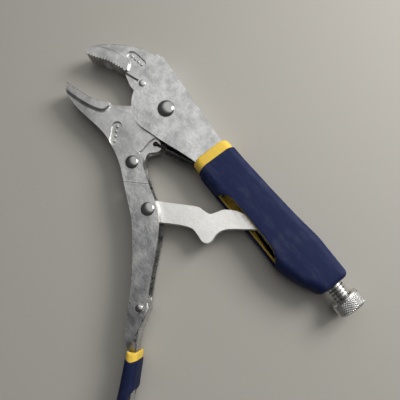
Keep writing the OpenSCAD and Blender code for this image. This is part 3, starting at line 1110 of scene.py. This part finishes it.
@dataclass
class Section:
    """A rounded cross-section of a grip."""

    low: float
    high: float
    half: float
    low_radius: float
    high_radius: float

    def shrunk(self, by: float) -> "Section":
        """Give the section with its sides moved in."""
        return Section(self.low + by, self.high - by, self.half - by,
                       max(self.low_radius - by, 0.4), max(self.high_radius - by, 0.4))

    def points(self, steps: int = 8) -> list[Point]:
        """Draw the section, as Y and Z."""
        a, b = self.high_radius, self.low_radius
        outline: list[Point] = []
        outline += arc((self.high - a, self.half - a), a, 0, 90, steps)
        outline += arc((self.low + b, self.half - b), b, 90, 180, steps)
        outline += arc((self.low + b, b - self.half), b, 180, 270, steps)
        outline += arc((self.high - a, a - self.half), a, 270, 360, steps)
        return outline


def loft(sections: Callable[[float], Section], start: float, end: float, front_round: float,
         rear_round: float, spacing: float = 2.0,
         slant: Callable[[float, float, float], float] | None = None) -> Blank:
    """Draw a rounded body along X.

    Args:
        sections: Gives the section at each X.
        start: X of the front end.
        end: X of the rear end.
        front_round: Radius of the rounding at the front end.
        rear_round: Radius of the rounding at the rear end.
        spacing: Distance between rings along the middle.
        slant: Gives the shift in X of a point from its X, Y and Z.

    Returns:
        The closed body.
    """
    turns = [math.pi / 2 * k / 6 for k in range(7)]
    places = [(start + front_round * (1 - math.sin(a)), front_round * (1 - math.cos(a)))
              for a in reversed(turns)]
    count = max(int((end - start - front_round - rear_round) / spacing), 2)
    first = start + front_round
    last = end - rear_round
    places += [(first + (last - first) * k / count, 0.0) for k in range(1, count)]
    places += [(last + rear_round * math.sin(a), rear_round * (1 - math.cos(a))) for a in turns]
    rings = []
    for x, inset in places:
        ring = [(x + (slant(x, y, z) if slant else 0.0), y, z)
                for y, z in sections(x).shrunk(inset).points()]
        rings.append(ring)
    return Blank(skin("grip", rings))


@dataclass
class FixedGrip:
    """The yellow inner and blue outer layers over the fixed handle."""

    layout: Layout
    handle: FixedHandle
    front: float = 42.5
    blue_front: float = 49.5
    overhang: float = 3.0
    inner_skin: float = 1.5
    outer_skin: float = 2.0
    half: float = 10.0
    collar_half: float = 9.4
    inner_side: float = 1.2
    low_radius: float = 7.4
    high_radius: float = 5.4
    bow: float = 1.2

    def _edges(self, x: float, grown: float) -> tuple[float, float]:
        """Give the lower and upper edge of the covered steel at x, grown outwards."""
        tail = self.handle.tail
        low = along(smooth([(s[0], s[1]) for s in tail]), x)
        high = along(smooth([(s[0], s[2]) for s in tail]), x)
        return low - grown, high + grown

    def outer_section(self, x: float) -> Section:
        """Give the blue layer's section."""
        low, high = self._edges(x, self.inner_skin + self.outer_skin)
        return Section(low, high, self.half, self.low_radius, self.high_radius)

    def inner_section(self, x: float) -> Section:
        """Give the yellow layer's section under the blue one."""
        low, high = self._edges(x, self.inner_skin)
        return Section(low, high, self.handle.outer + self.inner_side, self.low_radius - 2,
                       self.high_radius - 2)

    def collar_section(self, x: float) -> Section:
        """Give the collar's section."""
        low, high = self._edges(x, self.inner_skin + 0.9)
        swell = 0.35 * math.sin(math.pi * min(max((x - self.front) / 8.0, 0.0), 1.0))
        return Section(low - swell, high + swell, self.collar_half, self.low_radius - 0.6,
                       self.high_radius - 0.4)

    def slant(self, x: float, y: float, z: float) -> float:
        """Bow the front edges of both layers."""
        middle = 4.2
        reach = 13.0
        fade = 1 - step(x, self.blue_front + 1, self.blue_front + 12)
        return -self.bow * (1 - ((y - middle) / reach) ** 2) * fade

    def _slot(self, lip: float) -> list[Blank]:
        """Make the tools for the toggle's slot, with the upper lip cut back to y = lip."""
        inner = self.handle.outer - self.handle.wall
        through = Blank.plate([(37.5, -16), (124, -16), (124, -2.6), (37.5, -2.6)], -inner, inner)
        near = smooth([(66, -16), (69, -9.5), (72, -5.6), (77, lip - 0.6), (84, lip), (96, lip + 0.1),
                       (110, lip), (117, lip - 0.8), (122, -5.8), (126, -9.5), (129, -16)], 5)
        return [through, Blank.plate(near, 0.0, 14.0)]

    def build(self) -> None:
        """Build both layers."""
        place = self.layout.plan
        handle = self.handle
        rear = handle.neck_end + self.overhang
        inner = handle.outer - handle.wall
        steel, _ = handle.outline()
        hole = self._hole(rear)
        blue = loft(self.outer_section, self.blue_front, rear, 0.9, 3.2, slant=self.slant)
        blue.cut(loft(self.inner_section, self.blue_front - 6, rear - 1, 0.3, 0.5))
        blue.cut(*self._slot(-3.0), hole)
        mesh = blue.round(0.35, 2).polish(50).place(place)
        fit("fixed_grip_blue_layer", mesh, "blue", Body.FIXED, Slot.BLUE, "fixed_grip_outer")

        yellow = loft(self.inner_section, self.front + 5, rear - 1, 0.3, 0.5)
        yellow.join(loft(self.collar_section, self.front, self.blue_front + 1.6, 1.4, 1.6, 1.0, self.slant))
        yellow.cut(Blank.plate(steel, -handle.outer, handle.outer))
        yellow.cut(Blank.plate([(37, -4), (136, -4), (136, 12), (37, 12)], -inner, inner))
        yellow.cut(*self._slot(-3.2), self._hole(rear))
        mesh = yellow.round(0.2, 2).polish(50).place(place)
        fit("fixed_grip_yellow_layer", mesh, "yellow", Body.FIXED, Slot.YELLOW, "fixed_grip_inner")

    def _hole(self, rear: float) -> Blank:
        """Make the drill for the screw through the grip's end."""
        drill = Blank.lathe([(0, rear - 4), (6.55, rear - 4), (6.55, rear + 6), (0, rear + 6)], 64)
        return drill.shape(lambda p: Vector((p.z, p.y + self.handle.screw_y, -p.x)))


# ---- lower jaw and its spring -----------------------------------------------


@dataclass
class LowerJaw:
    """The forged lower jaw, with its toothed pad, recess, heel step and spring tab."""

    layout: Layout
    rows: RowTree
    half: float = 4.8
    pad_half: float = 6.6
    lug_radius: float = 12.5
    bore: float = 4.05
    link_bore: float = 3.05
    hook: Point = (14.1, -20.2)
    heel_half: float = 3.4
    cove: float = 2.1

    def build(self) -> None:
        """Build the jaw."""
        ear_centre = self.layout.on_plan(self.layout.pivots["handle_swing"])
        teeth = smooth([(-62.8, -42.6), (-57, -40.9), (-51.2, -38.8), (-42.7, -35.8), (-35.5, -31.9),
                        (-31.4, -28.2)])
        pad = smooth([(-28.4, -30.6), (-28.6, -34), (-32, -36.9), (-38.6, -40.2), (-47.1, -43.3),
                      (-54.7, -45.3),
                      (-60, -46.4)])
        under = smooth([(-60, -46.4), (-54.9, -47.8), (-42.8, -47.7), (-31.7, -46.1), (-21.4, -44.3),
                        (-12.2, -43.5), (-4.5, -44.4), (4, -45.6), (11, -47.6)])
        ear = arc(ear_centre, 9, -100, 5)
        tab = smooth([(20.5, -34), (16.4, -28.5), (19.3, -22.6), (18.9, -18.6), (13.5, -16.8), (9, -16.4)], 4)
        lug = [(-28.4, -27), (-19.1, -17), (-12, -4), (0, 5), (9, -4)]
        web = Blank.plate(teeth + lug + tab[::-1] + ear[::-1] + under[::-1], -self.half, self.half)
        web.join(Blank.disc((0, 0), self.lug_radius, -self.half, self.half, 96))
        web.round(1.0, 4)
        self._thin_tab(web)
        web.join(raised_pad(teeth + [(-28.8, -28.2)], pad, 1, self.pad_half, self.half, self.cove))
        heel = [(-13.4, -19.2), (-27.2, -29.8), (-31.5, -26), (-18, -14.5)]
        for side in (1, -1):
            ends = sorted((side * self.heel_half, side * 9.0))
            web.cut(Blank.plate(heel, *ends, [0], 1.0, 4))
        Recess((-12.9, -33.6), (-5.5, -40.9)).cut_into(web, self.rows, self.half)
        web.cut(Teeth().cutter(teeth))
        web.cut(Blank.disc((0, 0), self.bore, -15, 15), Blank.disc(ear_centre, self.link_bore, -15, 15))
        web.cut(*self._notch())
        mesh = web.round(0.16, 2).polish().place(self.layout.plan)
        fit("lower_jaw_forging", mesh, "forged", Body.JAW, Slot.PLATED, "lower_jaw")

    def _thin_tab(self, web: Blank) -> None:
        """Step the spring tab down below the jaw's sides."""
        edge = smooth([(13.4, -12.0), (11.3, -16.6), (10.4, -20.5), (11.2, -25.4), (12.2, -30),
                       (11.8, -32)], 5)
        outline = edge + [(16, -34), (26, -34), (26, -12)]
        for low, high in ((3.3, 9.0), (-9.0, -3.3)):
            web.cut(Blank.plate(outline, low, high))

    def _notch(self) -> list[Blank]:
        """Make the tools for the spring's hook notch."""
        turn = math.radians(24)
        x, y = self.hook
        corners = [(0, -1.1), (9, -1.1), (9, 1.3), (0, 1.3)]
        way = [(x + a * math.cos(turn) - b * math.sin(turn), y + a * math.sin(turn) + b * math.cos(turn))
               for a, b in corners]
        return [Blank.disc(self.hook, 1.8, -12, 12, 40), Blank.plate(way, -12, 12)]


@dataclass
class JawSpring:
    """The closed tension coil between the lower jaw's tab and the channel's bridge."""

    layout: Layout
    hook: Point = (14.1, -20.2)
    anchor: Point = (58.0, -0.2)
    coil_radius: float = 2.6
    wire: float = 0.52
    turns: int = 24
    lead: float = 8.0
    per_turn: int = 20

    def _path(self, length: float) -> list[tuple[float, float, float]]:
        """Draw the wire: front hook, coil and rear hook, along X."""
        radius = self.coil_radius
        start, end = self.lead, length - self.lead
        path = [(1.6 * math.cos(a), -1.6 * math.sin(a) - 0.1, 0.0)
                for a in [math.radians(200 + 14 * k) for k in range(10)]]
        path += [(3.2, 0.9, 0.0), (5.0, 1.6, 0.0), (6.8, radius - 0.3, 0.0)]
        total = self.turns * self.per_turn
        for k in range(total + 1):
            a = 2 * math.pi * k / self.per_turn
            path.append((start + (end - start) * k / total, radius * math.cos(a), radius * math.sin(a)))
        path += [(end + 1.2, radius - 0.3, 0.0), (end + 3.6, 2.15, 0.0)]
        path += [(length + 2.15 * math.cos(a), 2.15 * math.sin(a), 0.0)
                 for a in [math.radians(100 - 18 * k) for k in range(12)]]
        return path

    def build(self) -> None:
        """Wind the spring and lay it between its two ends."""
        way = Vector(self.anchor) - Vector(self.hook)
        material = FINISH("spring")
        mesh = WireTree().run(self._path(way.length), Wire_Radius=self.wire, Sides=8, Material=material)
        turn = Matrix.Rotation(math.atan2(way.y, way.x), 4, "Z")
        lie = self.layout.plan @ Matrix.Translation((*self.hook, 0.0)) @ turn
        mesh.transform(lie)
        mesh.name = "jaw_spring_wire"
        mesh.materials.clear()
        mesh.materials.append(material)
        piece = bpy.data.objects.new("jaw_spring_wire", mesh)
        bpy.context.scene.collection.objects.link(piece)
        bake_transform(piece)
        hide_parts("jaw_spring")
        LOG.info("%s: %d faces between two bodies", piece.name, len(mesh.polygons))


# ---- movable handle ---------------------------------------------------------


@dataclass
class MovableHandle:
    """The bent handle with its joggled ears, its rivets and the lever rivet's washers."""

    layout: Layout
    half: float = 8.2
    ear_half: float = 7.4
    wall: float = 2.2
    joggle: float = 14.0
    tail_at: float = 114.0
    bend: float = 3.4
    rear: float = 172.0
    toggle_at: Point = (30.5, 15.2)
    lever_at: Point = (92.0, 18.6)
    open_edge: tuple[Point, ...] = (
        (3, 8.2), (8, 10.6), (16.4, 14.5), (22.8, 18.1), (29.1, 20.9), (34.8, 23), (43.1, 24.2), (52.6, 24.2),
        (59, 23.7), (75.7, 22.8), (92.6, 22.4), (99.9, 20.7), (107, 18.4), (113.9, 16.2), (117, 15.9),
        (120, 16.6))
    back_edge: tuple[Point, ...] = (
        (4, -7.2), (12, -4.2), (24.2, 0.5), (37.3, 5.3), (50.3, 8), (65, 10.2), (81.9, 11.6), (94.3, 11.6),
        (106.5, 11.8), (111, 12.5), (114, 13.6), (117, 14.8), (120, 15.3))
    tail: tuple[tuple[float, float, float], ...] = (
        (120, 15.3, 16.9), (135, 14.7, 17.6), (150, 13.4, 17.8), (169, 11.6, 16))

    def outline(self) -> tuple[list[Point], range]:
        """Draw the handle's side.

        Returns:
            The outline, and the numbers of its sides along the back's bend.
        """
        ear = arc((0, 0), 7.6, 111, 297, 30)
        back = smooth(self.back_edge, 4) + [(u, low) for u, low, _ in self.tail[1:]]
        front = [(u, high) for u, _, high in self.tail[::-1]] + smooth(self.open_edge, 4)[::-1][1:]
        return ear + back + front, range(len(ear), len(ear) + len(back) - 1)

    def _narrowed(self, p: Vector) -> Vector:
        """Step the ears and the covered tail in from the handle's full width."""
        ears = 1 - step(p.x, self.joggle - 1.1, self.joggle + 0.7)
        tail = step(p.x, self.tail_at - 2.5, self.tail_at + 2.0)
        by = (self.half - self.ear_half) * max(ears, tail)
        return Vector((p.x, p.y, p.z - math.copysign(min(by, abs(p.z)), p.z)))

    def build(self) -> None:
        """Build the handle, its three rivets and the washers."""
        place = self.layout.handle
        points, bent = self.outline()
        handle = Blank.plate(points, -self.half, self.half, bent, self.bend)
        inner = self.half - self.wall
        floor = [(u, v + self.wall) for u, v in smooth(self.back_edge, 4)]
        floor = [p for p in floor if p[0] > self.joggle + 1]
        floor += [(u + 4, low + 1.2) for u, low, _ in self.tail[1:]]
        hollow = floor + [(200, 60), (-20, 60), (-20, -20), (self.joggle + 0.5, -20)]
        handle.cut(Blank.plate(hollow, -inner, inner, range(0, len(floor) - 1), 0.4, 3))
        handle.round(0.5, 3)
        handle.slice([self.joggle - 1.1 + 0.3 * k for k in range(7)])
        handle.slice([self.tail_at - 2.5 + 0.75 * k for k in range(7)])
        handle.shape(self._narrowed)
        for centre, radius in (((0, 0), 3.0), (self.toggle_at, 3.0), (self.lever_at, 1.8)):
            handle.cut(Blank.disc(centre, radius, -15, 15, 48))
        mesh = handle.polish().place(place)
        fit("movable_handle_channel_skin", mesh, "plated", Body.HANDLE, Slot.PLATED,
            "movable_handle_channel")

        joint = rivet(3.0, 4.5, self.ear_half, self.ear_half + 2.0)
        fit("handle_rivet_domed", joint.polish().place(place), "rivet", Body.HANDLE, Slot.RIVET,
            "handle_rivet")
        link = rivet(3.0, 4.5, self.half, 10.0)
        link.shape(lambda p: p + Vector((*self.toggle_at, 0)))
        fit("toggle_rivet_domed", link.polish().place(place), "rivet", Body.HANDLE, Slot.RIVET,
            "toggle_rivet")
        seat = self.half + 0.5
        small = rivet(1.8, 2.4, seat, seat + 1.0)
        small.shape(lambda p: p + Vector((*self.lever_at, 0)))
        fit("lever_rivet_domed", small.polish().place(place), "rivet", Body.HANDLE, Slot.RIVET, "lever_rivet")
        fit("lever_rivet_washer_rings", self._washers().polish().place(place), "screw", Body.HANDLE,
            Slot.RIVET, "lever_rivet_washers")

    def _washers(self) -> Blank:
        """Make the washer under each head of the lever rivet."""
        pair = []
        for side in (1, -1):
            ends = sorted((side * self.half, side * (self.half + 0.5)))
            ring = Blank.disc((0, 0), 3.1, *ends, 64).cut(Blank.disc((0, 0), 1.8, -15, 15, 48))
            pair.append(ring.round(0.15, 2))
        both = pair[0].join(pair[1])
        return both.shape(lambda p: p + Vector((*self.lever_at, 0)))


@dataclass
class MovableGrip:
    """The open two-layer sleeve on the movable handle's tail."""

    layout: Layout
    handle: MovableHandle
    front: float = 117.0
    blue_front: float = 122.0
    band_rear: float = 139.0
    skin: float = 0.7
    outer_skin: float = 0.9
    half: float = 10.0
    collar_half: float = 9.4
    side: float = 1.2
    roof: tuple[Point, ...] = ((117, 20.3), (126, 20.4), (135, 20.25), (139, 20.25))

    def _edges(self, u: float, below: float, above: float) -> tuple[float, float]:
        """Give the sleeve's lower and upper edge at u: over the band, then along the open lips."""
        low_line = [(112, 14.9)] + [(s[0], s[1]) for s in self.handle.tail] + [(172, 11.3)]
        lip = [(u, v + 0.6) for u, v in self.roof] + [(143.5, 18.6), (158, 18.8), (167, 18.2), (172, 17.6)]
        return along(smooth(low_line), u) - below, along(smooth(lip), u) + above

    def outer_section(self, u: float) -> Section:
        """Give the blue sleeve's section."""
        low, high = self._edges(u, self.skin + self.outer_skin, self.outer_skin)
        return Section(low, high, self.half, 3.6, 3.4 - 2.2 * step(u, self.band_rear, self.band_rear + 5))

    def inner_section(self, u: float) -> Section:
        """Give the yellow layer's section under the blue sleeve."""
        low, high = self._edges(u, self.skin, 0.0)
        return Section(low, high, self.handle.ear_half + self.side, 2.7,
                       2.5 - 2.0 * step(u, self.band_rear, self.band_rear + 5))

    def collar_section(self, u: float) -> Section:
        """Give the collar's section."""
        low, high = self._edges(u, self.skin + 0.5, 0.45)
        return Section(low, high, self.collar_half, 3.3, 3.1)

    def slant(self, u: float, v: float, z: float) -> float:
        """Draw the sleeve's front edges back in the middle, so that they make a shallow V."""
        fade = 1 - step(u, self.blue_front + 1, self.blue_front + 9)
        return 1.5 * (1 - min(abs(v - 17.8) / 3.8, 1.0)) * fade

    def _room(self) -> Blank:
        """Make the tool for the room that the steel tail and the lever lie in, open behind the band."""
        width = self.handle.ear_half
        floor = [(s[0], s[1]) for s in self.handle.tail]
        outline = [(110, 14.8)] + floor + [(169, 40), (self.band_rear, 40)]
        outline += list(self.roof[::-1]) + [(110, 20.3)]
        return Blank.plate(outline, -width, width)

    def build(self) -> None:
        """Build both layers."""
        place = self.layout.handle
        rear = self.handle.rear
        blue = loft(self.outer_section, self.blue_front, rear, 0.8, 3.0, 1.5, self.slant)
        blue.cut(loft(self.inner_section, self.blue_front - 6, rear - 1, 0.3, 0.5), self._room())
        mesh = blue.round(0.3, 2).polish(50).place(place)
        # The blue sleeve takes the dimmed navy copy, whose darker colours are painted shade.
        fit("movable_grip_blue_sleeve", mesh, "blue_handle", Body.HANDLE, Slot.BLUE, "movable_grip_outer")

        yellow = loft(self.inner_section, self.front + 3, rear - 1, 0.3, 0.5)
        yellow.join(loft(self.collar_section, self.front, self.blue_front + 1.4, 1.2, 1.4, 1.0, self.slant))
        yellow.cut(self._room())
        mesh = yellow.round(0.2, 2).polish(50).place(place)
        fit("movable_grip_yellow_layer", mesh, "yellow", Body.HANDLE, Slot.YELLOW, "movable_grip_inner")


# ---- toggle link and release lever ------------------------------------------


@dataclass
class ToggleLink:
    """The cast link with its round nose and the lobe that the lever pushes."""

    layout: Layout
    half: float = 3.5
    hub_half: float = 5.8
    nose: float = 3.0
    length: float = 89.0
    bore: float = 3.05

    def build(self) -> None:
        """Build the link."""
        nose, length = self.nose, self.length
        top = smooth([(0, 7), (10, 6.6), (20, 6.6), (31, 6.4), (35, 4.6), (39.5, 2.8), (44, 4.6),
                      (48, 6.6), (55, 7),
                      (61.7, 5.4), (70, 3.6), (80, nose), (length, nose)])
        tip = arc((length, 0), nose, 84, -84, 14)
        low = smooth([(length, -nose), (80, -nose), (70.9, -3.1), (60, -4.2), (52.3, -5.3), (48, -7.2),
                      (45.2, -10.2), (43.2, -14), (40.6, -15.8), (37.5, -15.4), (34.7, -12.6), (31.5, -9.2),
                      (28, -7.4), (20, -6.6), (10, -6.8), (0, -7)])
        heel = arc((0, 0), 7, 264, 96, 20)
        link = Blank.plate(top + tip + low + heel, -self.half, self.half)
        link.join(Blank.disc((0, 0), 6.8, -self.hub_half, self.hub_half, 96))
        link.cut(Blank.disc((0, 0), self.bore, -15, 15))
        mesh = link.round(0.8, 4).polish().place(self.layout.toggle)
        fit("toggle_link_casting", mesh, "cast", Body.TOGGLE, Slot.CAST, "toggle_link")


@dataclass
class ReleaseLever:
    """The lever in the movable handle: a folded front arm and a thin tail along the grip."""

    layout: Layout
    half: float = 5.6
    tail_half: float = 5.0
    sheet: float = 1.5
    pivot: Point = (92.0, 18.6)
    bore: float = 1.85

    def build(self) -> None:
        """Build the lever."""
        tail = smooth([(97, 22.2), (100, 21.8), (106, 20.3), (112, 19.8), (118, 20), (126, 20.1),
                       (135, 19.95),
                       (150, 20.6), (158, 22.2), (166, 23.8)])
        under = [(u - 0.3, v - self.sheet) for u, v in tail[::-1]]
        arm = [(92, 15.4), (84, 14.6), (76, 14.2), (73.5, 14.6), (73.5, 16), (78, 16.4), (84, 18.5),
               (86, 21.8),
               (92, 24.2), (97, 22.2), (100, 21.8), (99, 19.6), (96, 17)]
        lever = Blank.plate(arm, -self.half, self.half).round(0.7, 3)
        inside = [(60, 10), (60, 20.3), (86, 20.3), (92, 21.6), (96.5, 19.6), (99, 10)]
        lever.cut(Blank.plate(inside, -self.half + 1.6, self.half - 1.6))
        lever.join(Blank.plate(tail + under, -self.tail_half, self.tail_half).round(0.45, 3))
        lever.cut(Blank.disc(self.pivot, self.bore, -15, 15, 40))
        mesh = lever.round(0.2, 2).polish().place(self.layout.handle)
        fit("release_lever_folded", mesh, "plated", Body.LEVER, Slot.PLATED, "release_lever")


# ---- adjusting screw --------------------------------------------------------


@dataclass
class AdjustingScrew:
    """The screw with its plain tip and its knurled knob."""

    layout: Layout
    handle: FixedHandle
    radius: float = 5.55
    pitch: float = 2.0
    thread_depth: float = 0.75
    tip_radius: float = 3.0
    knob_radius: float = 9.1
    knob_length: float = 9.0
    knurls: int = 38
    knurl_depth: float = 0.42
    knurl_pitch: float = 1.5

    def _on_axis(self, points: Iterable[tuple[float, float, float]]) -> list[tuple[float, float, float]]:
        """Lay rings drawn about the X axis on the screw's axis."""
        return [(x, y + self.handle.screw_y, z) for x, y, z in points]

    def _surface(self, places: Sequence[float], sides: int,
                 radius: Callable[[float, float], float]) -> Blank:
        """Turn a surface whose radius depends on X and on the angle.

        Args:
            places: X of each ring.
            sides: Points round each ring.
            radius: Gives the radius from X and the angle in turns.

        Returns:
            The closed solid.
        """
        rings = []
        for x in places:
            ring = []
            for k in range(sides):
                share = k / sides
                size = radius(x, share)
                turn = 2 * math.pi * share
                ring.append((x, size * math.cos(turn), size * math.sin(turn)))
            rings.append(self._on_axis(ring))
        return Blank(skin("turned", rings))

    def _thread_radius(self, x: float, share: float) -> float:
        """Give the threaded surface's radius."""
        phase = (x / self.pitch - share) % 1.0
        tooth = min(abs(phase - 0.5) * 2.6, 1.0)
        return self.radius - self.thread_depth * tooth

    def _knob_radius_at(self, x: float, share: float, start: float) -> float:
        """Give the knob's radius, with its diamond knurl between two plain rims."""
        local = x - start
        front = 1.7
        chamfer = 0.35
        edge = max(chamfer - local, 0.0) + max(local - (self.knob_length - 1.3), 0.0) ** 1.6 * 0.75
        if local < front:
            groove = 0.55 * (1 - abs(local - 1.45) / 0.25) if abs(local - 1.45) < 0.25 else 0.0
            return self.knob_radius - edge - groove
        across = local / self.knurl_pitch
        around = share * self.knurls
        left = abs((around + across) % 1.0 - 0.5) * 2
        right = abs((around - across) % 1.0 - 0.5) * 2
        return self.knob_radius - edge - self.knurl_depth * max(left, right) ** 1.5

    def build(self) -> None:
        """Build the tip, the screw and the knob."""
        place = self.layout.plan
        tip_low, tip_high = (self._plan_x(p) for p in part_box("screw_tip"))
        knob_low, knob_high = (self._plan_x(p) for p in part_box("screw_knob"))
        tip = self._surface([tip_low, tip_low + 0.01, tip_low + 0.5, tip_high], 48,
                            lambda x, s: self.tip_radius - 0.5 * (x < tip_low + 0.3))
        fit("screw_tip_plain", tip.polish(30).place(place), "screw", Body.SLIDE, Slot.SCREW, "screw_tip")

        end = knob_low + 6
        steps = int((end - tip_high) / self.pitch * 12)
        places = [tip_high + (end - tip_high) * k / steps for k in range(steps + 1)]
        screw = self._surface(places, 56, self._thread_radius)
        fit("adjusting_screw_thread", screw.polish(60).place(place), "screw", Body.SCREW, Slot.SCREW,
            "adjusting_screw")

        count = 72
        places = [knob_low + self.knob_length * k / count for k in range(count + 1)]
        knob = self._surface(places, self.knurls * 8, lambda x, s: self._knob_radius_at(x, s, knob_low))
        knob.cut(self._socket(knob_low), self._dish(knob_high))
        fit("screw_knob_knurled", knob.polish(32).place(place), "screw", Body.SCREW, Slot.SCREW, "screw_knob")

    def _plan_x(self, corner: Vector) -> float:
        """Give a corner's X in the plan."""
        return self.layout.on_plan(corner)[0]

    def _socket(self, start: float) -> Blank:
        """Make the tool for the screw's seat in the knob."""
        return self._surface([start - 2, start + 6], 56, lambda x, s: self.radius)

    def _dish(self, end: float) -> Blank:
        """Make the tool for the shallow dish in the knob's end."""
        return self._surface([end - 0.8, end + 2], 56, lambda x, s: 5.6 + 0.5 * (x > end))


# ---- studio -----------------------------------------------------------------


@dataclass
class Studio:
    """The floor, the light and the camera."""

    layout: Layout
    aim: tuple[float, float, float] = (62.91, -19.62, 0.0)
    distance: float = 0.262
    azimuth: float = -10.36
    elevation: float = 76.54
    up_heading: float = 141.65
    lens: float = 36.0
    floor_size: float = 3.0

    def build(self) -> None:
        """Set up the stage."""
        self._floor()
        self._sky()
        self._lamp("window_light", Vector((0.06, 0.5, 0.36)), 0.26, 2.9, (1.0, 0.985, 0.96))
        self._camera()

    def _floor(self) -> None:
        """Lay the pale floor."""
        bm = bmesh.new()
        bmesh.ops.create_grid(bm, x_segments=2, y_segments=2, size=self.floor_size / 2)
        mesh = bpy.data.meshes.new("studio_floor")
        bm.to_mesh(mesh)
        bm.free()
        material = bpy.data.materials.new("pale_floor")
        material.use_nodes = True
        bench = Bench(material.node_tree)
        shader = bench.add("ShaderNodeBsdfPrincipled", None,
                           {"Base Color": (0.4, 0.385, 0.35, 1.0), "Roughness": 0.8})
        bench.add("ShaderNodeOutputMaterial", None, {"Surface": shader})
        mesh.materials.append(material)
        floor = bpy.data.objects.new("studio_floor", mesh)
        bpy.context.scene.collection.objects.link(floor)

    def _sky(self) -> None:
        """Light the room softly, brighter overhead and on the window side."""
        world = bpy.data.worlds.new("studio")
        bpy.context.scene.world = world
        world.use_nodes = True
        bench = Bench(world.node_tree)
        at = bench.add("ShaderNodeTexCoord", output="Generated")
        side = bench.add("ShaderNodeVectorMath", {"operation": "DOT_PRODUCT"},
                         {0: at, 1: (-0.15, 0.65, 0.74)}, "Value")
        stops = [(0.0, (0.07, 0.07, 0.07, 1.0)), (0.5, (0.09, 0.09, 0.092, 1.0)),
                 (0.61, (0.16, 0.16, 0.163, 1.0)),
                 (0.7, (0.5, 0.5, 0.495, 1.0)), (0.78, (1.0, 0.995, 0.98, 1.0))]
        shade = bench.add("ShaderNodeValToRGB", {"stops": stops}, {"Fac": side}, "Color")
        sky = bench.add("ShaderNodeBackground", None, {"Color": shade, "Strength": 1.1})
        bench.add("ShaderNodeOutputWorld", None, {"Surface": sky})

    def _lamp(self, name: str, offset: Vector, size: float, power: float, colour: tuple) -> None:
        """Hang an area light that faces the pliers.

        Args:
            name: Name of the light.
            offset: Its place from the jaw pivot, in metres.
            size: Side of its square panel, in metres.
            power: Its power, in watts.
            colour: Its colour.
        """
        data = bpy.data.lights.new(name, "AREA")
        data.shape = "SQUARE"
        data.size = size
        data.energy = power
        data.color = colour
        lamp = bpy.data.objects.new(name, data)
        target = self.layout.plan @ Vector(self.aim)
        lamp.location = target + offset
        lamp.rotation_euler = (-offset).to_track_quat("-Z", "Y").to_euler()
        bpy.context.scene.collection.objects.link(lamp)

    def _camera(self) -> None:
        """Set the camera almost overhead, leaning over the adjusting screw."""
        target = self.layout.plan @ Vector(self.aim)
        turn, rise = math.radians(self.azimuth), math.radians(self.elevation)
        back = Vector((math.cos(rise) * math.cos(turn), math.cos(rise) * math.sin(turn), math.sin(rise)))
        heading = math.radians(self.up_heading)
        level = Vector((math.cos(heading), math.sin(heading), 0.0))
        up = (level - Vector((0, 0, level.dot(back) / back.z))).normalized()
        right = up.cross(back)
        data = bpy.data.cameras.new("camera")
        data.lens = self.lens
        data.sensor_width = 36.0
        data.clip_start = 0.01
        camera = bpy.data.objects.new("camera", data)
        axes = Matrix((right, up, back)).transposed().to_4x4()
        camera.matrix_world = Matrix.Translation(target + back * self.distance) @ axes
        bpy.context.scene.collection.objects.link(camera)
        bpy.context.scene.camera = camera
        bpy.context.scene.view_settings.view_transform = "Standard"


def main() -> None:
    """Build the pliers and the studio."""
    logging.basicConfig(level=logging.INFO, format="%(name)s %(message)s")
    layout = Layout()
    Studio(layout).build()
    rows = RowTree()
    fixed = FixedHandle(layout, rows)
    movable = MovableHandle(layout)
    assemblies = [fixed, FixedGrip(layout, fixed), LowerJaw(layout, rows), JawSpring(layout), movable,
                  MovableGrip(layout, movable), ToggleLink(layout), ReleaseLever(layout),
                  AdjustingScrew(layout, fixed)]
    for assembly in assemblies:
        assembly.build()


if __name__ == "__main__":
    main()
